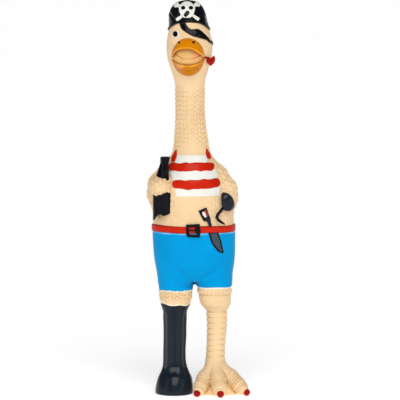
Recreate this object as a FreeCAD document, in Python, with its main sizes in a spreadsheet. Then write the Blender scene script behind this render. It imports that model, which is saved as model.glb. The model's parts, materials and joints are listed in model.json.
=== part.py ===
"""A rubber chicken dressed as a pirate: a standing, hollow squeak toy of moulded latex.

The bird stands upright, faces -Y and has its own right side at -X. Z is up from the floor it
stands on. Every number is in millimetres. The hollow skin is made of lofts through ellipses, each
given by its height, centre and half sizes. Painted details in relief are pieces of a thin shell
lofted through the same ellipses, cut out by an outline seen from the front. The neck and the legs
bend at balls that turn in pockets, and the back wall is pressed in to work the squeaker.
"""

import FreeCAD
import Part
import math
import os

import Sketcher

doc = FreeCAD.newDocument("RubberChicken")
sizes = doc.addObject("Spreadsheet::Sheet", "Sizes")

DRIVING = {
    # where the bird's middle stands in the part's frame
    "axis_x": -6.7,
    "axis_y": 1.0,
    # latex skin
    "skin_wall": 2.4,
    "joint_gap": 0.4,
    "panel_gap": 0.4,
    # heights of the parting lines
    "waist_height": 181.0,
    "cavity_floor": 126.4,
    "cavity_top": 254.0,
    "air_passage_radius": 9.0,
    # pressed part of the back wall, an upright oval
    "panel_height": 197.0,
    "panel_half_width": 28.0,
    "panel_half_height": 48.0,
    # relief of the painted details above the skin
    "shirt_relief": 0.8,
    "stripe_relief": 1.5,
    "belt_relief": 1.5,
    "dagger_relief": 2.0,
    "emblem_relief": 0.9,
    "socket_relief": 1.3,
    "eye_relief": 0.7,
    "pupil_relief": 1.2,
    "patch_relief": 1.4,
    # belt and buckle
    "belt_width": 7.5,
    "belt_height": 181.0,
    "buckle_width": 15.6,
    "buckle_tall": 13.6,
    "buckle_bar": 2.7,
    "buckle_thick": 2.2,
    "buckle_x": 0.2,
    "buckle_height": 180.2,
    # balls that the skin bends about: neck
    "neck_base_x": -2.0,
    "neck_base_height": 275.5,
    "neck_base_radius": 17.6,
    "neck_middle_x": -3.2,
    "neck_middle_height": 304.5,
    "neck_middle_radius": 15.3,
    "neck_top_x": -3.3,
    "neck_top_height": 333.5,
    "neck_top_radius": 15.6,
    # balls that the skin bends about: legs
    "boot_leg_x": -18.9,
    "boot_leg_height": 101.0,
    "boot_leg_radius": 16.8,
    "foot_leg_x": 23.6,
    "foot_leg_height": 104.0,
    "foot_leg_radius": 17.4,
    "leg_y": 1.0,
    # share of a ball's radius at which its pocket's rim stands from its centre
    "rim_share": 0.7071,
    # hat
    "hat_relief": 1.3,
    # squeaker in the seat of the shorts
    "squeaker_x": 0.5,
    "squeaker_height": 163.0,
    "squeaker_face_y": 33.6,
    "squeaker_radius": 10.0,
    "squeaker_length": 13.0,
    "squeaker_wall": 1.2,
    "squeaker_flange_radius": 12.0,
    "squeaker_flange_thick": 1.4,
    "squeaker_hole_radius": 2.2,
    "reed_seat_radius": 3.2,
    "reed_seat_length": 8.0,
    "reed_length": 7.0,
    "reed_width": 3.2,
    "reed_thick": 0.3,
    # toes and nails
    "nail_radius": 3.8,
}

# height, centre x, centre y, half width, half depth
TORSO = [
    (123.0, 2.0, 3.0, 35.5, 25.0),
    (136.0, 1.8, 2.6, 40.5, 30.0),
    (158.0, 1.2, 2.0, 43.3, 32.6),
    (181.0, 0.6, 1.6, 43.8, 33.2),
    (206.0, -0.2, 1.4, 42.6, 33.4),
    (228.0, -0.9, 1.0, 37.5, 31.2),
    (246.0, -1.4, 0.6, 29.6, 25.8),
    (262.8, -1.8, 0.2, 20.6, 18.4),
]
RIGHT_SLEEVE = [
    (112.6, -18.9, 1.0, 17.4, 17.4),
    (130.0, -19.2, 1.4, 19.0, 20.0),
    (150.0, -19.4, 2.0, 20.0, 22.0),
]
LEFT_SLEEVE = [
    (116.0, 23.6, 1.0, 18.0, 18.0),
    (131.0, 23.0, 1.4, 19.4, 20.4),
    (150.0, 22.6, 2.0, 20.0, 22.0),
]
LOWER_NECK = [
    (275.5, -2.0, 0.0, 17.6, 17.6),
    (284.0, -2.6, 0.0, 16.8, 16.8),
    (293.7, -3.0, 0.0, 15.9, 15.9),
]
UPPER_NECK = [
    (304.5, -3.2, 0.0, 15.3, 15.3),
    (313.0, -3.2, 0.0, 15.3, 15.3),
    (322.5, -3.3, 0.0, 15.5, 15.5),
]
HEAD = [
    (333.5, -3.3, 0.0, 15.6, 15.6),
    (342.0, -3.5, -0.5, 17.1, 17.4),
    (352.0, -3.7, -1.0, 20.3, 20.8),
    (362.0, -3.7, -1.5, 23.3, 23.6),
    (373.0, -3.7, -1.5, 24.6, 24.8),
    (384.0, -3.8, -1.2, 23.9, 24.2),
    (395.0, -4.4, -0.8, 21.2, 21.8),
    (406.0, -5.2, -0.5, 18.2, 18.8),
    (416.0, -5.8, -0.2, 14.2, 14.6),
    (422.5, -6.0, 0.0, 8.4, 8.6),
    (424.6, -6.0, 0.0, 3.0, 3.0),
]
HAT_TOP = [(426.3, -6.0, 0.0, 3.6, 3.6)]
BOTTLE = [
    (196.0, -33.2, -24.5, 9.3, 9.3),
    (216.0, -33.2, -24.5, 9.5, 9.5),
    (228.0, -33.2, -24.2, 8.6, 8.6),
    (237.0, -32.6, -23.8, 6.6, 6.6),
    (246.0, -31.4, -23.4, 4.6, 4.6),
    (260.0, -29.8, -23.0, 4.2, 4.2),
]
BOOT_CUFF = [
    (88.0, -19.2, 1.0, 12.4, 12.4),
    (93.0, -19.0, 1.0, 14.6, 14.6),
    (98.6, -18.9, 1.0, 16.6, 16.6),
]
BOOT_SHAFT = [
    (0.0, -20.6, -1.0, 19.6, 19.6),
    (7.0, -20.5, -0.8, 19.2, 19.2),
    (18.0, -20.2, -0.2, 16.8, 16.8),
    (28.0, -19.9, 0.6, 13.0, 13.0),
    (44.0, -19.7, 1.0, 11.7, 11.7),
    (70.0, -19.5, 1.0, 11.7, 11.7),
    (88.0, -19.2, 1.0, 12.4, 12.4),
]
SHANK = [
    (33.0, 24.4, 0.6, 11.0, 11.0),
    (48.0, 24.4, 0.8, 10.1, 10.1),
    (72.0, 25.4, 1.0, 10.9, 10.9),
    (91.0, 25.4, 1.0, 12.2, 12.2),
]
ANKLE_CUFF = [
    (91.0, 25.4, 1.0, 12.2, 12.2),
    (95.0, 24.8, 1.0, 15.4, 15.4),
    (100.0, 23.6, 1.0, 16.9, 16.9),
]
FOOT = [
    (0.0, 29.5, 0.0, 22.5, 15.5),
    (7.0, 29.2, 0.0, 20.5, 14.5),
    (18.0, 27.0, 0.4, 14.5, 12.2),
    (33.0, 24.4, 0.6, 11.0, 11.0),
]
# toes: points on the toe's centre line with its radius there
INNER_TOE = [
    (19.0, -3.0, 25.0, 7.6),
    (12.0, -11.0, 16.0, 6.8),
    (7.4, -19.0, 8.4, 6.0),
    (5.7, -25.0, 5.2, 4.8),
]
MIDDLE_TOE = [
    (25.0, -5.0, 26.0, 7.8),
    (27.5, -15.0, 15.0, 7.0),
    (28.9, -24.0, 7.8, 6.2),
    (29.2, -30.0, 5.2, 4.8),
]
OUTER_TOE = [
    (30.0, -3.0, 25.5, 7.8),
    (42.0, -9.5, 16.5, 7.0),
    (51.6, -15.3, 8.6, 6.2),
    (56.2, -19.4, 5.2, 4.8),
]

FRONT = 80.0
FLOOR_DEPTH = 30.0
WIDE = 200.0

written = {}


def cell(alias, value):
    """Writes one plain number to the sheet and names it."""
    written[alias] = float(value)
    row = len(written)
    sizes.set(f"A{row}", alias)
    sizes.set(f"B{row}", str(value))
    sizes.setAlias(f"B{row}", alias)


def table(name, stations):
    """Writes a loft's stations to the sheet and returns (name, count)."""
    for i, station in enumerate(stations):
        for key, value in zip(("height", "x", "y", "wide", "deep"), station):
            cell(f"{name}_{key}_{i}", value)
    return name, len(stations)


def size(alias):
    """The number written under a name."""
    return written[alias]


def bind(thing, **expressions):
    """Binds properties to the sheet; two underscores in a key stand for a dot."""
    for key, expression in expressions.items():
        thing.setExpression(key.replace("__", "."), expression)
    return thing


def section(name, stations, i, grow):
    """One ellipse of a loft, its half sizes changed by the expression grow."""
    wide, deep = (f"Sizes.{stations}_{key}_{i}" for key in ("wide", "deep"))
    ring = doc.addObject("Part::Ellipse", f"{name}_{i}")
    longer, shorter = (wide, deep)
    if size(f"{stations}_deep_{i}") > size(f"{stations}_wide_{i}"):
        longer, shorter = (deep, wide)
        ring.Placement.Rotation = FreeCAD.Rotation(FreeCAD.Vector(0, 0, 1), 90)
    return bind(
        ring,
        MajorRadius=longer + grow,
        MinorRadius=shorter + grow,
        Placement__Base__x=f"Sizes.{stations}_x_{i}",
        Placement__Base__y=f"Sizes.{stations}_y_{i}",
        Placement__Base__z=f"Sizes.{stations}_height_{i}",
    )


def loft(name, stations, grow="", rows=None, caps=()):
    """A solid through the ellipses of one table, or some of its rows, and then of the caps."""
    name_of, count = stations
    rings = [section(name, name_of, i, grow) for i in (rows or range(count))]
    rings += [section(f"{name}_cap", cap[0], i, grow) for cap in caps for i in range(cap[1])]
    made = doc.addObject("Part::Loft", name)
    made.Sections = rings
    made.Solid = True
    return made


def tube(name, points):
    """A solid through circles set square to a line of points, each with its radius."""
    rings = []
    for i, (x, y, z, radius) in enumerate(points):
        before, after = points[max(i - 1, 0)], points[min(i + 1, len(points) - 1)]
        along = FreeCAD.Vector(*[b - a for a, b in zip(before[:3], after[:3])])
        cell(f"{name}_radius_{i}", radius)
        ring = doc.addObject("Part::Circle", f"{name}_{i}")
        turn = FreeCAD.Rotation(FreeCAD.Vector(0, 0, 1), along)
        ring.Placement = FreeCAD.Placement(FreeCAD.Vector(x, y, z), turn)
        rings.append(bind(ring, Radius=f"Sizes.{name}_radius_{i}"))
    made = doc.addObject("Part::Loft", name)
    made.Sections = rings
    made.Solid = True
    return made


def ball(name, where, grow=""):
    """A sphere about one of the bending points named in the sheet."""
    y = "Sizes.leg_y" if where.endswith("leg") else "0"
    return bind(
        doc.addObject("Part::Sphere", name),
        Radius=f"Sizes.{where}_radius{grow}",
        Placement__Base__x=f"Sizes.{where}_x",
        Placement__Base__y=y,
        Placement__Base__z=f"Sizes.{where}_height",
    )


def ellipsoid(name, centre, half, turn=0.0):
    """An ellipsoid with half sizes along x, y and z, turned about y by some degrees."""
    made = doc.addObject("Part::Ellipsoid", name)
    for key, value in zip(("x", "y", "z"), half):
        cell(f"{name}_half_{key}", value)
    bind(
        made,
        Radius1=f"Sizes.{name}_half_z",
        Radius2=f"Sizes.{name}_half_x",
        Radius3=f"Sizes.{name}_half_y",
    )
    made.Placement = placement(centre, turn)
    return made


def placement(centre, turn=0.0, axis=(0, 1, 0)):
    """A place, turned by some degrees about an axis."""
    return FreeCAD.Placement(FreeCAD.Vector(*centre), FreeCAD.Rotation(FreeCAD.Vector(*axis), turn))


def cylinder_y(name, x, z, radius, front=FRONT, back=0.0):
    """A cylinder along y, from a distance in front of the bird's middle to one behind it."""
    made = doc.addObject("Part::Cylinder", name)
    cell(f"{name}_radius", radius)
    made.Height = front + back
    made.Placement = placement((x, back, z), 90, (1, 0, 0))
    return bind(made, Radius=f"Sizes.{name}_radius")


def cylinder_z(name, x, y, z, radius, height):
    """An upright cylinder whose x, radius and height may be expressions."""
    made = doc.addObject("Part::Cylinder", name)
    return bind(
        made,
        Radius=str(radius),
        Height=str(height),
        Placement__Base__x=str(x),
        Placement__Base__y=str(y),
        Placement__Base__z=str(z),
    )


def slab(name, low, high):
    """A wide horizontal slab between two heights, each an expression."""
    made = doc.addObject("Part::Box", name)
    made.Length = made.Width = 2 * WIDE
    made.Placement = placement((-WIDE, -WIDE, 0))
    return bind(made, Placement__Base__z=low, Height=f"({high}) - ({low})")


def bar(name, start, end, width):
    """A bar with round ends along y, seen from the front as a slot from start to end."""
    (x0, z0), (x1, z1) = start, end
    length = math.hypot(x1 - x0, z1 - z0)
    cell(f"{name}_width", width)
    cell(f"{name}_length", length)
    middle = doc.addObject("Part::Box", f"{name}_middle")
    bind(middle, Length=f"Sizes.{name}_length", Height=f"Sizes.{name}_width")
    middle.Width = FRONT
    lean = -math.degrees(math.atan2(z1 - z0, x1 - x0))
    across = FreeCAD.Rotation(FreeCAD.Vector(0, 1, 0), lean)
    corner = FreeCAD.Vector(x0, -FRONT, z0) + across.multVec(FreeCAD.Vector(0, 0, -width / 2))
    middle.Placement = FreeCAD.Placement(corner, across)
    ends = []
    for side, (x, z) in (("start", start), ("end", end)):
        cap = doc.addObject("Part::Cylinder", f"{name}_{side}")
        cap.Height = FRONT
        cap.Placement = placement((x, 0, z), 90, (1, 0, 0))
        ends.append(bind(cap, Radius=f"Sizes.{name}_width / 2"))
    return fuse(name, middle, *ends)


def front_prism(name, points):
    """A PartDesign pad towards the front, of a closed outline drawn on the XZ plane."""
    body = doc.addObject("PartDesign::Body", name)
    plane = next(o for o in body.Origin.OriginFeatures if o.Role == "XZ_Plane")
    sketch = body.newObject("Sketcher::SketchObject", f"{name}_sketch")
    sketch.AttachmentSupport = [(plane, "")]
    sketch.MapMode = "FlatFace"
    corners = [FreeCAD.Vector(x, z, 0) for x, z in points]
    count = len(corners)
    sketch.addGeometry(
        [Part.LineSegment(corners[i], corners[(i + 1) % count]) for i in range(count)]
    )
    for i in range(count):
        sketch.addConstraint(Sketcher.Constraint("Coincident", i, 2, (i + 1) % count, 1))
    for i, corner in enumerate(corners):
        for kind, key, value in (("DistanceX", "x", corner.x), ("DistanceY", "z", corner.y)):
            cell(f"{name}_{key}_{i}", value)
            held = sketch.addConstraint(Sketcher.Constraint(kind, -1, 1, i, 1, value))
            sketch.setExpression(f"Constraints[{held}]", f"Sizes.{name}_{key}_{i}")
    pad = body.newObject("PartDesign::Pad", f"{name}_pad")
    pad.Profile = sketch
    pad.Length = FRONT
    return body


def join(kind, name, things):
    made = doc.addObject(kind, name)
    made.Shapes = list(things)
    return made


def fuse(name, *things):
    return join("Part::MultiFuse", name, things)


def common(name, one, two):
    made = doc.addObject("Part::Common", name)
    made.Base = one
    made.Tool = two
    return made


def cut(name, base, *tools):
    """The base without the tools."""
    made = doc.addObject("Part::Cut", name)
    made.Base = base
    made.Tool = tools[0] if len(tools) == 1 else fuse(f"{name}_tools", *tools)
    return made


def group(name, *things):
    """Separate solids that share one node."""
    made = doc.addObject("Part::Compound", name)
    made.Links = list(things)
    return made


kept = []


def sub_part(label, made):
    """Names a finished piece and places it in the part's frame; returns its unmoved shape."""
    made.Label = f"{label}_shape"
    placed = group(f"{label}_placed", made)
    placed.Label = label
    bind(placed, Placement__Base__x="Sizes.axis_x", Placement__Base__y="Sizes.axis_y")
    kept.append(placed)
    return made


def make_torso():
    """Chest and hips as two hollow shells, parted at the waist, with the back wall let out."""
    outer = loft("torso_outer", torso)
    wall = " - Sizes.skin_wall"
    inside = loft("torso_inner", torso, wall)
    hollow = common("torso_hollow", inside, slab("cavity", "Sizes.cavity_floor", "Sizes.cavity_top"))
    passage = cylinder_z("neck_passage", "Sizes.neck_base_x", 0, 250, "Sizes.air_passage_radius", 20)
    pocket = ball("neck_base_pocket", "neck_base", " + Sizes.joint_gap")
    chest_whole = cut("chest_whole", outer, hollow, passage, pocket)
    chest = common("chest_shell", chest_whole, slab("above_waist", "Sizes.waist_height", "300"))

    sleeves, rooms = [], []
    for leg, stations in (("boot_leg", right_sleeve), ("foot_leg", left_sleeve)):
        sleeves.append(loft(f"{leg}_sleeve", stations))
        roof = f"Sizes.{leg}_height + Sizes.{leg}_radius + Sizes.joint_gap + Sizes.skin_wall"
        room = f"Sizes.{leg}_radius - Sizes.skin_wall"
        x = f"Sizes.{leg}_x"
        rooms.append(cylinder_z(f"{leg}_room", x, "Sizes.leg_y", roof, room, 26))
        low = f"Sizes.{leg}_height"
        bore = "Sizes.air_passage_radius - 2"
        rooms.append(cylinder_z(f"{leg}_passage", x, "Sizes.leg_y", low, bore, 30))
        rooms.append(ball(f"{leg}_pocket", leg, " + Sizes.joint_gap"))
    hips_outer = fuse("hips_outer", outer, *sleeves)
    hips_whole = cut("hips_whole", hips_outer, hollow, *rooms)
    hips = common("hips_shell", hips_whole, slab("below_waist", "90", "Sizes.waist_height"))

    opening = oval_prism("opening", "")
    plug = oval_prism("plug", " - Sizes.panel_gap")
    seat_hole = squeaker_seat()
    sub_part("torso_skin", cut("torso_skin", chest, opening))
    sub_part("shorts", cut("shorts", hips, opening))
    sub_part("back_panel", common("back_panel", chest, plug))
    seat = common("seat_whole", hips, plug)
    sub_part("seat_panel", cut("seat_panel", seat, seat_hole))

    belt_outer = loft("belt_outer", torso, " + Sizes.belt_relief")
    half = "Sizes.belt_width / 2"
    band = slab("belt_slab", f"Sizes.belt_height - {half}", f"Sizes.belt_height + {half}")
    ring = common("belt_ring", cut("belt_shell", belt_outer, outer), band)
    sub_part("belt", cut("belt", ring, opening))
    sub_part("belt_back", common("belt_back", ring, plug))
    return outer, belt_outer


def oval_prism(name, grow):
    """The upright oval through the back wall, as a prism behind the bird's middle."""
    oval = doc.addObject("Part::Ellipse", f"{name}_oval")
    oval.Placement.Rotation = FreeCAD.Rotation(FreeCAD.Vector(1, 1, 1), 240)
    bind(
        oval,
        MajorRadius=f"Sizes.panel_half_height{grow}",
        MinorRadius=f"Sizes.panel_half_width{grow}",
        Placement__Base__z="Sizes.panel_height",
    )
    made = doc.addObject("Part::Extrusion", name)
    made.Base = oval
    made.DirMode = "Custom"
    made.Dir = FreeCAD.Vector(0, 1, 0)
    made.LengthFwd = FRONT
    made.Solid = True
    return made


def along_y(name, radius, near, far):
    """A cylinder on the squeaker's axis between two distances behind its face, as expressions."""
    made = doc.addObject("Part::Cylinder", name)
    made.Placement.Rotation = FreeCAD.Rotation(FreeCAD.Vector(1, 0, 0), 90)
    return bind(
        made,
        Radius=radius,
        Height=f"({far}) - ({near})",
        Placement__Base__x="Sizes.squeaker_x",
        Placement__Base__y=f"Sizes.squeaker_face_y - ({near})",
        Placement__Base__z="Sizes.squeaker_height",
    )


def squeaker_seat():
    """The room that the squeaker takes in the seat of the shorts."""
    shaft = along_y("seat_bore", "Sizes.squeaker_radius", "-10", "Sizes.squeaker_length + 4")
    rim = along_y("seat_rim", "Sizes.squeaker_flange_radius", "-10", "Sizes.squeaker_flange_thick")
    return fuse("squeaker_room", shaft, rim)


def make_squeaker():
    """A plastic drum with a flange, a face with a sound hole, a reed's seat and the reed."""
    radius, wall, long = "Sizes.squeaker_radius", "Sizes.squeaker_wall", "Sizes.squeaker_length"
    thick = "Sizes.squeaker_flange_thick"
    flange = along_y("drum_flange", "Sizes.squeaker_flange_radius", "0", thick)
    barrel = along_y("drum_barrel", radius, "0", long)
    room = along_y("drum_room", f"{radius} - {wall}", f"{thick}", f"{long} + 1")
    hole = along_y("drum_hole", "Sizes.squeaker_hole_radius", "-1", f"{thick} + 1")
    sub_part("squeaker_drum", cut("squeaker_drum", fuse("drum_outer", flange, barrel), room, hole))

    lid = along_y("lid_disc", f"{radius} - {wall}", f"{long} - {wall}", long)
    lid_hole = along_y("lid_hole", "Sizes.reed_seat_radius", f"{long} - {wall} - 1", f"{long} + 1")
    sub_part("squeaker_lid", cut("squeaker_lid", lid, lid_hole))

    seat_end = f"{long} - Sizes.reed_seat_length"
    seat = along_y("seat_tube", "Sizes.reed_seat_radius", seat_end, long)
    bore = along_y("seat_tube_bore", "Sizes.reed_seat_radius - 1.2", f"{seat_end} - 1", f"{long} + 1")
    flat = doc.addObject("Part::Box", "seat_flat")
    flat.Length = flat.Height = 12
    bind(
        flat,
        Width="Sizes.reed_seat_length - 2.5",
        Placement__Base__x="Sizes.squeaker_x - 6",
        Placement__Base__y="Sizes.squeaker_face_y - Sizes.squeaker_length + 2.5",
        Placement__Base__z="Sizes.squeaker_height",
    )
    sub_part("reed_seat", cut("reed_seat", seat, bore, flat))

    reed = doc.addObject("Part::Box", "reed_block")
    bind(
        reed,
        Length="Sizes.reed_width",
        Width="Sizes.reed_length - 2.2",
        Height="Sizes.reed_thick",
    )
    moved = FreeCAD.Vector(
        size("squeaker_x") - size("reed_width") / 2,
        size("squeaker_face_y") - size("squeaker_length") + 2.9,
        size("squeaker_height") + 0.6,
    )
    reed.Placement.Base = moved
    sub_part("reed", reed)


def relief(name, outer, stations, grow, **more):
    """The thin shell that stands out of a surface by some expression."""
    return cut(name, loft(f"{name}_outer", stations, f" + Sizes.{grow}", **more), outer)


def make_shirt(outer):
    """A white shirt front with two red stripes in relief, and a red drop on each shoulder."""
    white = relief("shirt_shell", outer, torso, "shirt_relief")
    red = relief("stripe_shell", outer, torso, "stripe_relief")
    front = front_prism(
        "shirt_outline",
        [(-15.5, 260.5), (-18.0, 253.0), (-26.0, 242.0), (-21.5, 233.0), (-19.0, 217.0)]
        + [(28.5, 217.0), (28.0, 228.0), (25.0, 243.0), (18.5, 253.0), (13.0, 260.5)],
    )
    upper = bar("upper_stripe", (-22.4, 247.8), (19.2, 248.4), 8.6)
    lower = bar("lower_stripe", (-17.6, 229.4), (24.4, 230.8), 10.0)
    shirt = sub_part("shirt", cut("shirt", common("shirt_front", white, front), upper, lower))
    sub_part("red_stripe_upper", common("red_stripe_upper", red, upper))
    stripe = sub_part("red_stripe_lower", common("red_stripe_lower", red, lower))
    for side, x in (("right", -20.8), ("left", 17.6)):
        drop = ellipsoid(f"collar_drop_{side}_body", (x, -9.0, 257.4), (3.4, 3.4, 6.8))
        sub_part(f"collar_drop_{side}", cut(f"collar_drop_{side}", drop, outer))
    return shirt, stripe


def make_buckle(belt_outer):
    """A square frame on the belt with a prong across it."""
    belt_front = "Sizes.torso_y_3 - Sizes.torso_deep_3 - Sizes.belt_relief"
    face_y = f"{belt_front} - Sizes.buckle_thick"
    window = "Sizes.buckle_width - 2 * Sizes.buckle_bar"
    frames = []
    for name, less in (("buckle_outer", "0"), ("buckle_window", "2 * Sizes.buckle_bar")):
        block = doc.addObject("Part::Box", name)
        block.Width = 14
        bind(
            block,
            Length=f"Sizes.buckle_width - {less}",
            Height=f"Sizes.buckle_tall - {less}",
            Placement__Base__x=f"Sizes.buckle_x - (Sizes.buckle_width - {less}) / 2",
            Placement__Base__y=face_y,
            Placement__Base__z=f"Sizes.buckle_height - (Sizes.buckle_tall - {less}) / 2",
        )
        frames.append(block)
    sub_part("belt_buckle", cut("belt_buckle", *frames, belt_outer))
    prong = doc.addObject("Part::Box", "prong_block")
    prong.Width = 12
    bind(
        prong,
        Length=f"{window} - 0.2",
        Height="Sizes.buckle_bar",
        Placement__Base__x=f"Sizes.buckle_x - ({window} - 0.2) / 2",
        Placement__Base__y=f"{face_y} + 0.6",
        Placement__Base__z="Sizes.buckle_height - Sizes.buckle_bar / 2",
    )
    sub_part("buckle_prong", cut("buckle_prong", prong, belt_outer))


def make_dagger(outer, belt_outer):
    """A dagger in relief, its grip above the belt and its blade on the shorts."""
    shell = relief("dagger_shell", outer, torso, "dagger_relief")
    frame = front_prism("grip_outline", [(6.6, 200.8), (14.4, 204.2), (16.6, 196.0), (12.2, 190.4)])
    white = front_prism("white_inlay_outline", [(9.2, 200.2), (11.6, 201.2), (14.6, 195.6), (12.4, 193.6)])
    red = front_prism("red_inlay_outline", [(11.9, 201.3), (14.0, 202.2), (16.2, 196.4), (14.9, 195.7)])
    bolster = front_prism(
        "bolster_outline",
        [(12.6, 190.0), (16.9, 195.9), (19.6, 194.2), (20.2, 185.4), (16.8, 185.4)],
    )
    blade = front_prism("blade_outline", [(17.2, 177.0), (26.4, 177.0), (32.2, 155.8), (23.6, 162.6)])
    pieces = {
        "dagger_grip": common("grip_whole", shell, frame),
        "dagger_inlay_white": common("white_inlay", shell, white),
        "dagger_inlay_red": common("red_inlay", shell, red),
        "dagger_bolster": common("bolster_whole", shell, bolster),
        "dagger_blade": common("blade_whole", shell, blade),
    }
    sub_part("dagger_grip", cut("dagger_grip", pieces["dagger_grip"], white, red, bolster))
    sub_part("dagger_inlay_white", pieces["dagger_inlay_white"])
    sub_part("dagger_inlay_red", pieces["dagger_inlay_red"])
    sub_part("dagger_bolster", cut("dagger_bolster", pieces["dagger_bolster"], white, red))
    sub_part("dagger_blade", pieces["dagger_blade"])


def make_wings(outer, shirt, stripe):
    """A wing bent round a bottle on the right side, and one that ends in a hook on the left."""
    bottle = loft("bottle_whole", table("bottle", BOTTLE))
    cork = cylinder_z("bottle_lip_disc", -29.9, -23.0, 256.5, 5.2, 4.0)
    sub_part("bottle", cut("bottle", fuse("bottle_solid", bottle, cork), outer))

    upper = ellipsoid("right_upper_arm", (-38.2, 0.5, 217.0), (10.2, 17.0, 26.0), 6)
    hand = ellipsoid("right_hand", (-32.6, -25.0, 225.5), (14.5, 11.5, 10.5), -8)
    arm = cut("right_wing_arm", fuse("right_arm", upper, hand), outer, bottle)
    sub_part("right_wing", cut("right_wing", cut("right_wing_by_stripe", arm, stripe), shirt))

    cup_points = [(40.4, -17.5, 215.4, 8.6), (36.4, -20.5, 209.4, 7.2), (32.2, -23.0, 203.6, 2.6)]
    cup = tube("cup_cone", cup_points)
    upper = ellipsoid("left_upper_arm", (36.6, 0.5, 219.0), (9.6, 17.0, 28.0), -6)
    hand = ellipsoid("left_hand", (37.0, -11.0, 216.0), (9.0, 12.0, 14.0), -14)
    arm = cut("left_wing_shoulder", fuse("left_arm", upper, hand), outer)
    sub_part("left_wing", cut("left_wing", arm, cup))
    sub_part("hook_cup", cut("hook_cup", cup, outer))
    hook_points = [(31.0, -24.6, 203.0, 1.5), (27.0, -27.6, 197.6, 1.5), (25.8, -28.9, 195.2, 1.5)]
    hook_points += [(27.6, -29.2, 192.0, 1.4), (30.8, -28.6, 189.4, 1.3), (33.4, -27.6, 187.4, 1.0)]
    hook = tube("hook_wire", hook_points)
    sub_part("hook", cut("hook", hook, outer, cup))


def make_neck():
    """Two hollow lengths of neck, each with a ball below and a pocket above."""
    for label, stations, low, high in (
        ("neck_lower", lower_neck, "neck_base", "neck_middle"),
        ("neck_upper", upper_neck, "neck_middle", "neck_top"),
    ):
        body = fuse(f"{label}_solid", ball(f"{label}_ball", low), loft(f"{label}_tube", stations))
        pocket = ball(f"{label}_pocket", high, " + Sizes.joint_gap")
        top = f"Sizes.{high}_height - Sizes.{high}_radius - 2 * Sizes.skin_wall"
        room_height = f"{top} - Sizes.{low}_height"
        room = cylinder_z(
            f"{label}_room", f"Sizes.{low}_x", 0, f"Sizes.{low}_height",
            f"Sizes.{high}_radius - Sizes.skin_wall", room_height,
        )
        hollow_ball = ball(f"{label}_hollow", low, " - Sizes.skin_wall")
        below = f"Sizes.{low}_height - 30"
        passage = cylinder_z(f"{label}_passage", f"Sizes.{low}_x", 0, below, "Sizes.air_passage_radius", 70)
        above_floor = slab(f"{label}_span", below, f"Sizes.{high}_height")
        rest = cut(f"{label}_open", body, room, hollow_ball, passage, pocket)
        sub_part(label, common(label, rest, above_floor))


def make_head():
    """The hollow head, its hat and the skull and bones on the hat."""
    outer = loft("head_outer", head)
    whole = fuse("head_solid", outer, ball("head_ball", "neck_top"))
    inner = loft("head_inner", head, " - Sizes.skin_wall", rows=range(0, 10))
    hollow = ball("head_ball_hollow", "neck_top", " - Sizes.skin_wall")
    passage = cylinder_z("head_passage", "Sizes.neck_top_x", 0, 300, "Sizes.air_passage_radius", 34)
    sub_part("head_skin", cut("head_skin", whole, inner, hollow, passage))

    proud = " + Sizes.hat_relief"
    hat_whole = loft("hat_whole", head, proud, rows=range(5, 10), caps=(hat_top,))
    brow_right = cylinder_y("brow_right", -19.6, 390.2, 10.0)
    brow_left = cylinder_y("brow_left", 3.0, 372.2, 30.0)
    back = slab("hat_below", "370", "391")
    hat = cut("hat", hat_whole, outer, brow_right, brow_left, back)
    sub_part("hat", hat)
    shell = cut(
        "emblem_shell",
        loft("emblem_outer", head, f"{proud} + Sizes.emblem_relief", rows=range(5, 10), caps=(hat_top,)),
        hat_whole,
    )
    deeper = cut(
        "socket_shell",
        loft("socket_outer", head, f"{proud} + Sizes.socket_relief", rows=range(5, 10), caps=(hat_top,)),
        hat_whole,
    )
    dome = cylinder_y("skull_dome", -6.4, 417.0, 8.2)
    jaw = bar("skull_jaw", (-9.6, 410.6), (-3.2, 410.6), 6.4)
    skull_outline = fuse("skull_outline", dome, jaw)
    spots = enumerate(((-10.6, 416.4), (-2.2, 416.6)))
    eyes = [cylinder_y(f"socket_{i}", x, z, 2.1) for i, (x, z) in spots]
    nose = front_prism("nose_outline", [(-8.8, 409.8), (-4.4, 413.0), (-4.6, 410.0), (-6.8, 408.6)])
    face = fuse("skull_face", *eyes, nose)
    sub_part("hat_skull", cut("hat_skull", common("skull_whole", shell, skull_outline), face))
    sub_part("skull_sockets", common("skull_sockets", deeper, face))
    ends = [
        ((-16.6, 420.6), (-13.0, 418.4)),
        ((3.8, 420.8), (0.6, 419.0)),
        ((-16.2, 406.4), (-12.0, 409.6)),
        ((4.2, 406.8), (0.2, 409.8)),
    ]
    bones = fuse("bone_outline", *[bar(f"bone_{i}", a, b, 3.3) for i, (a, b) in enumerate(ends)])
    sub_part("hat_crossbones", cut("hat_crossbones", common("bones_whole", shell, bones), skull_outline))
    return outer, hat


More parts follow.
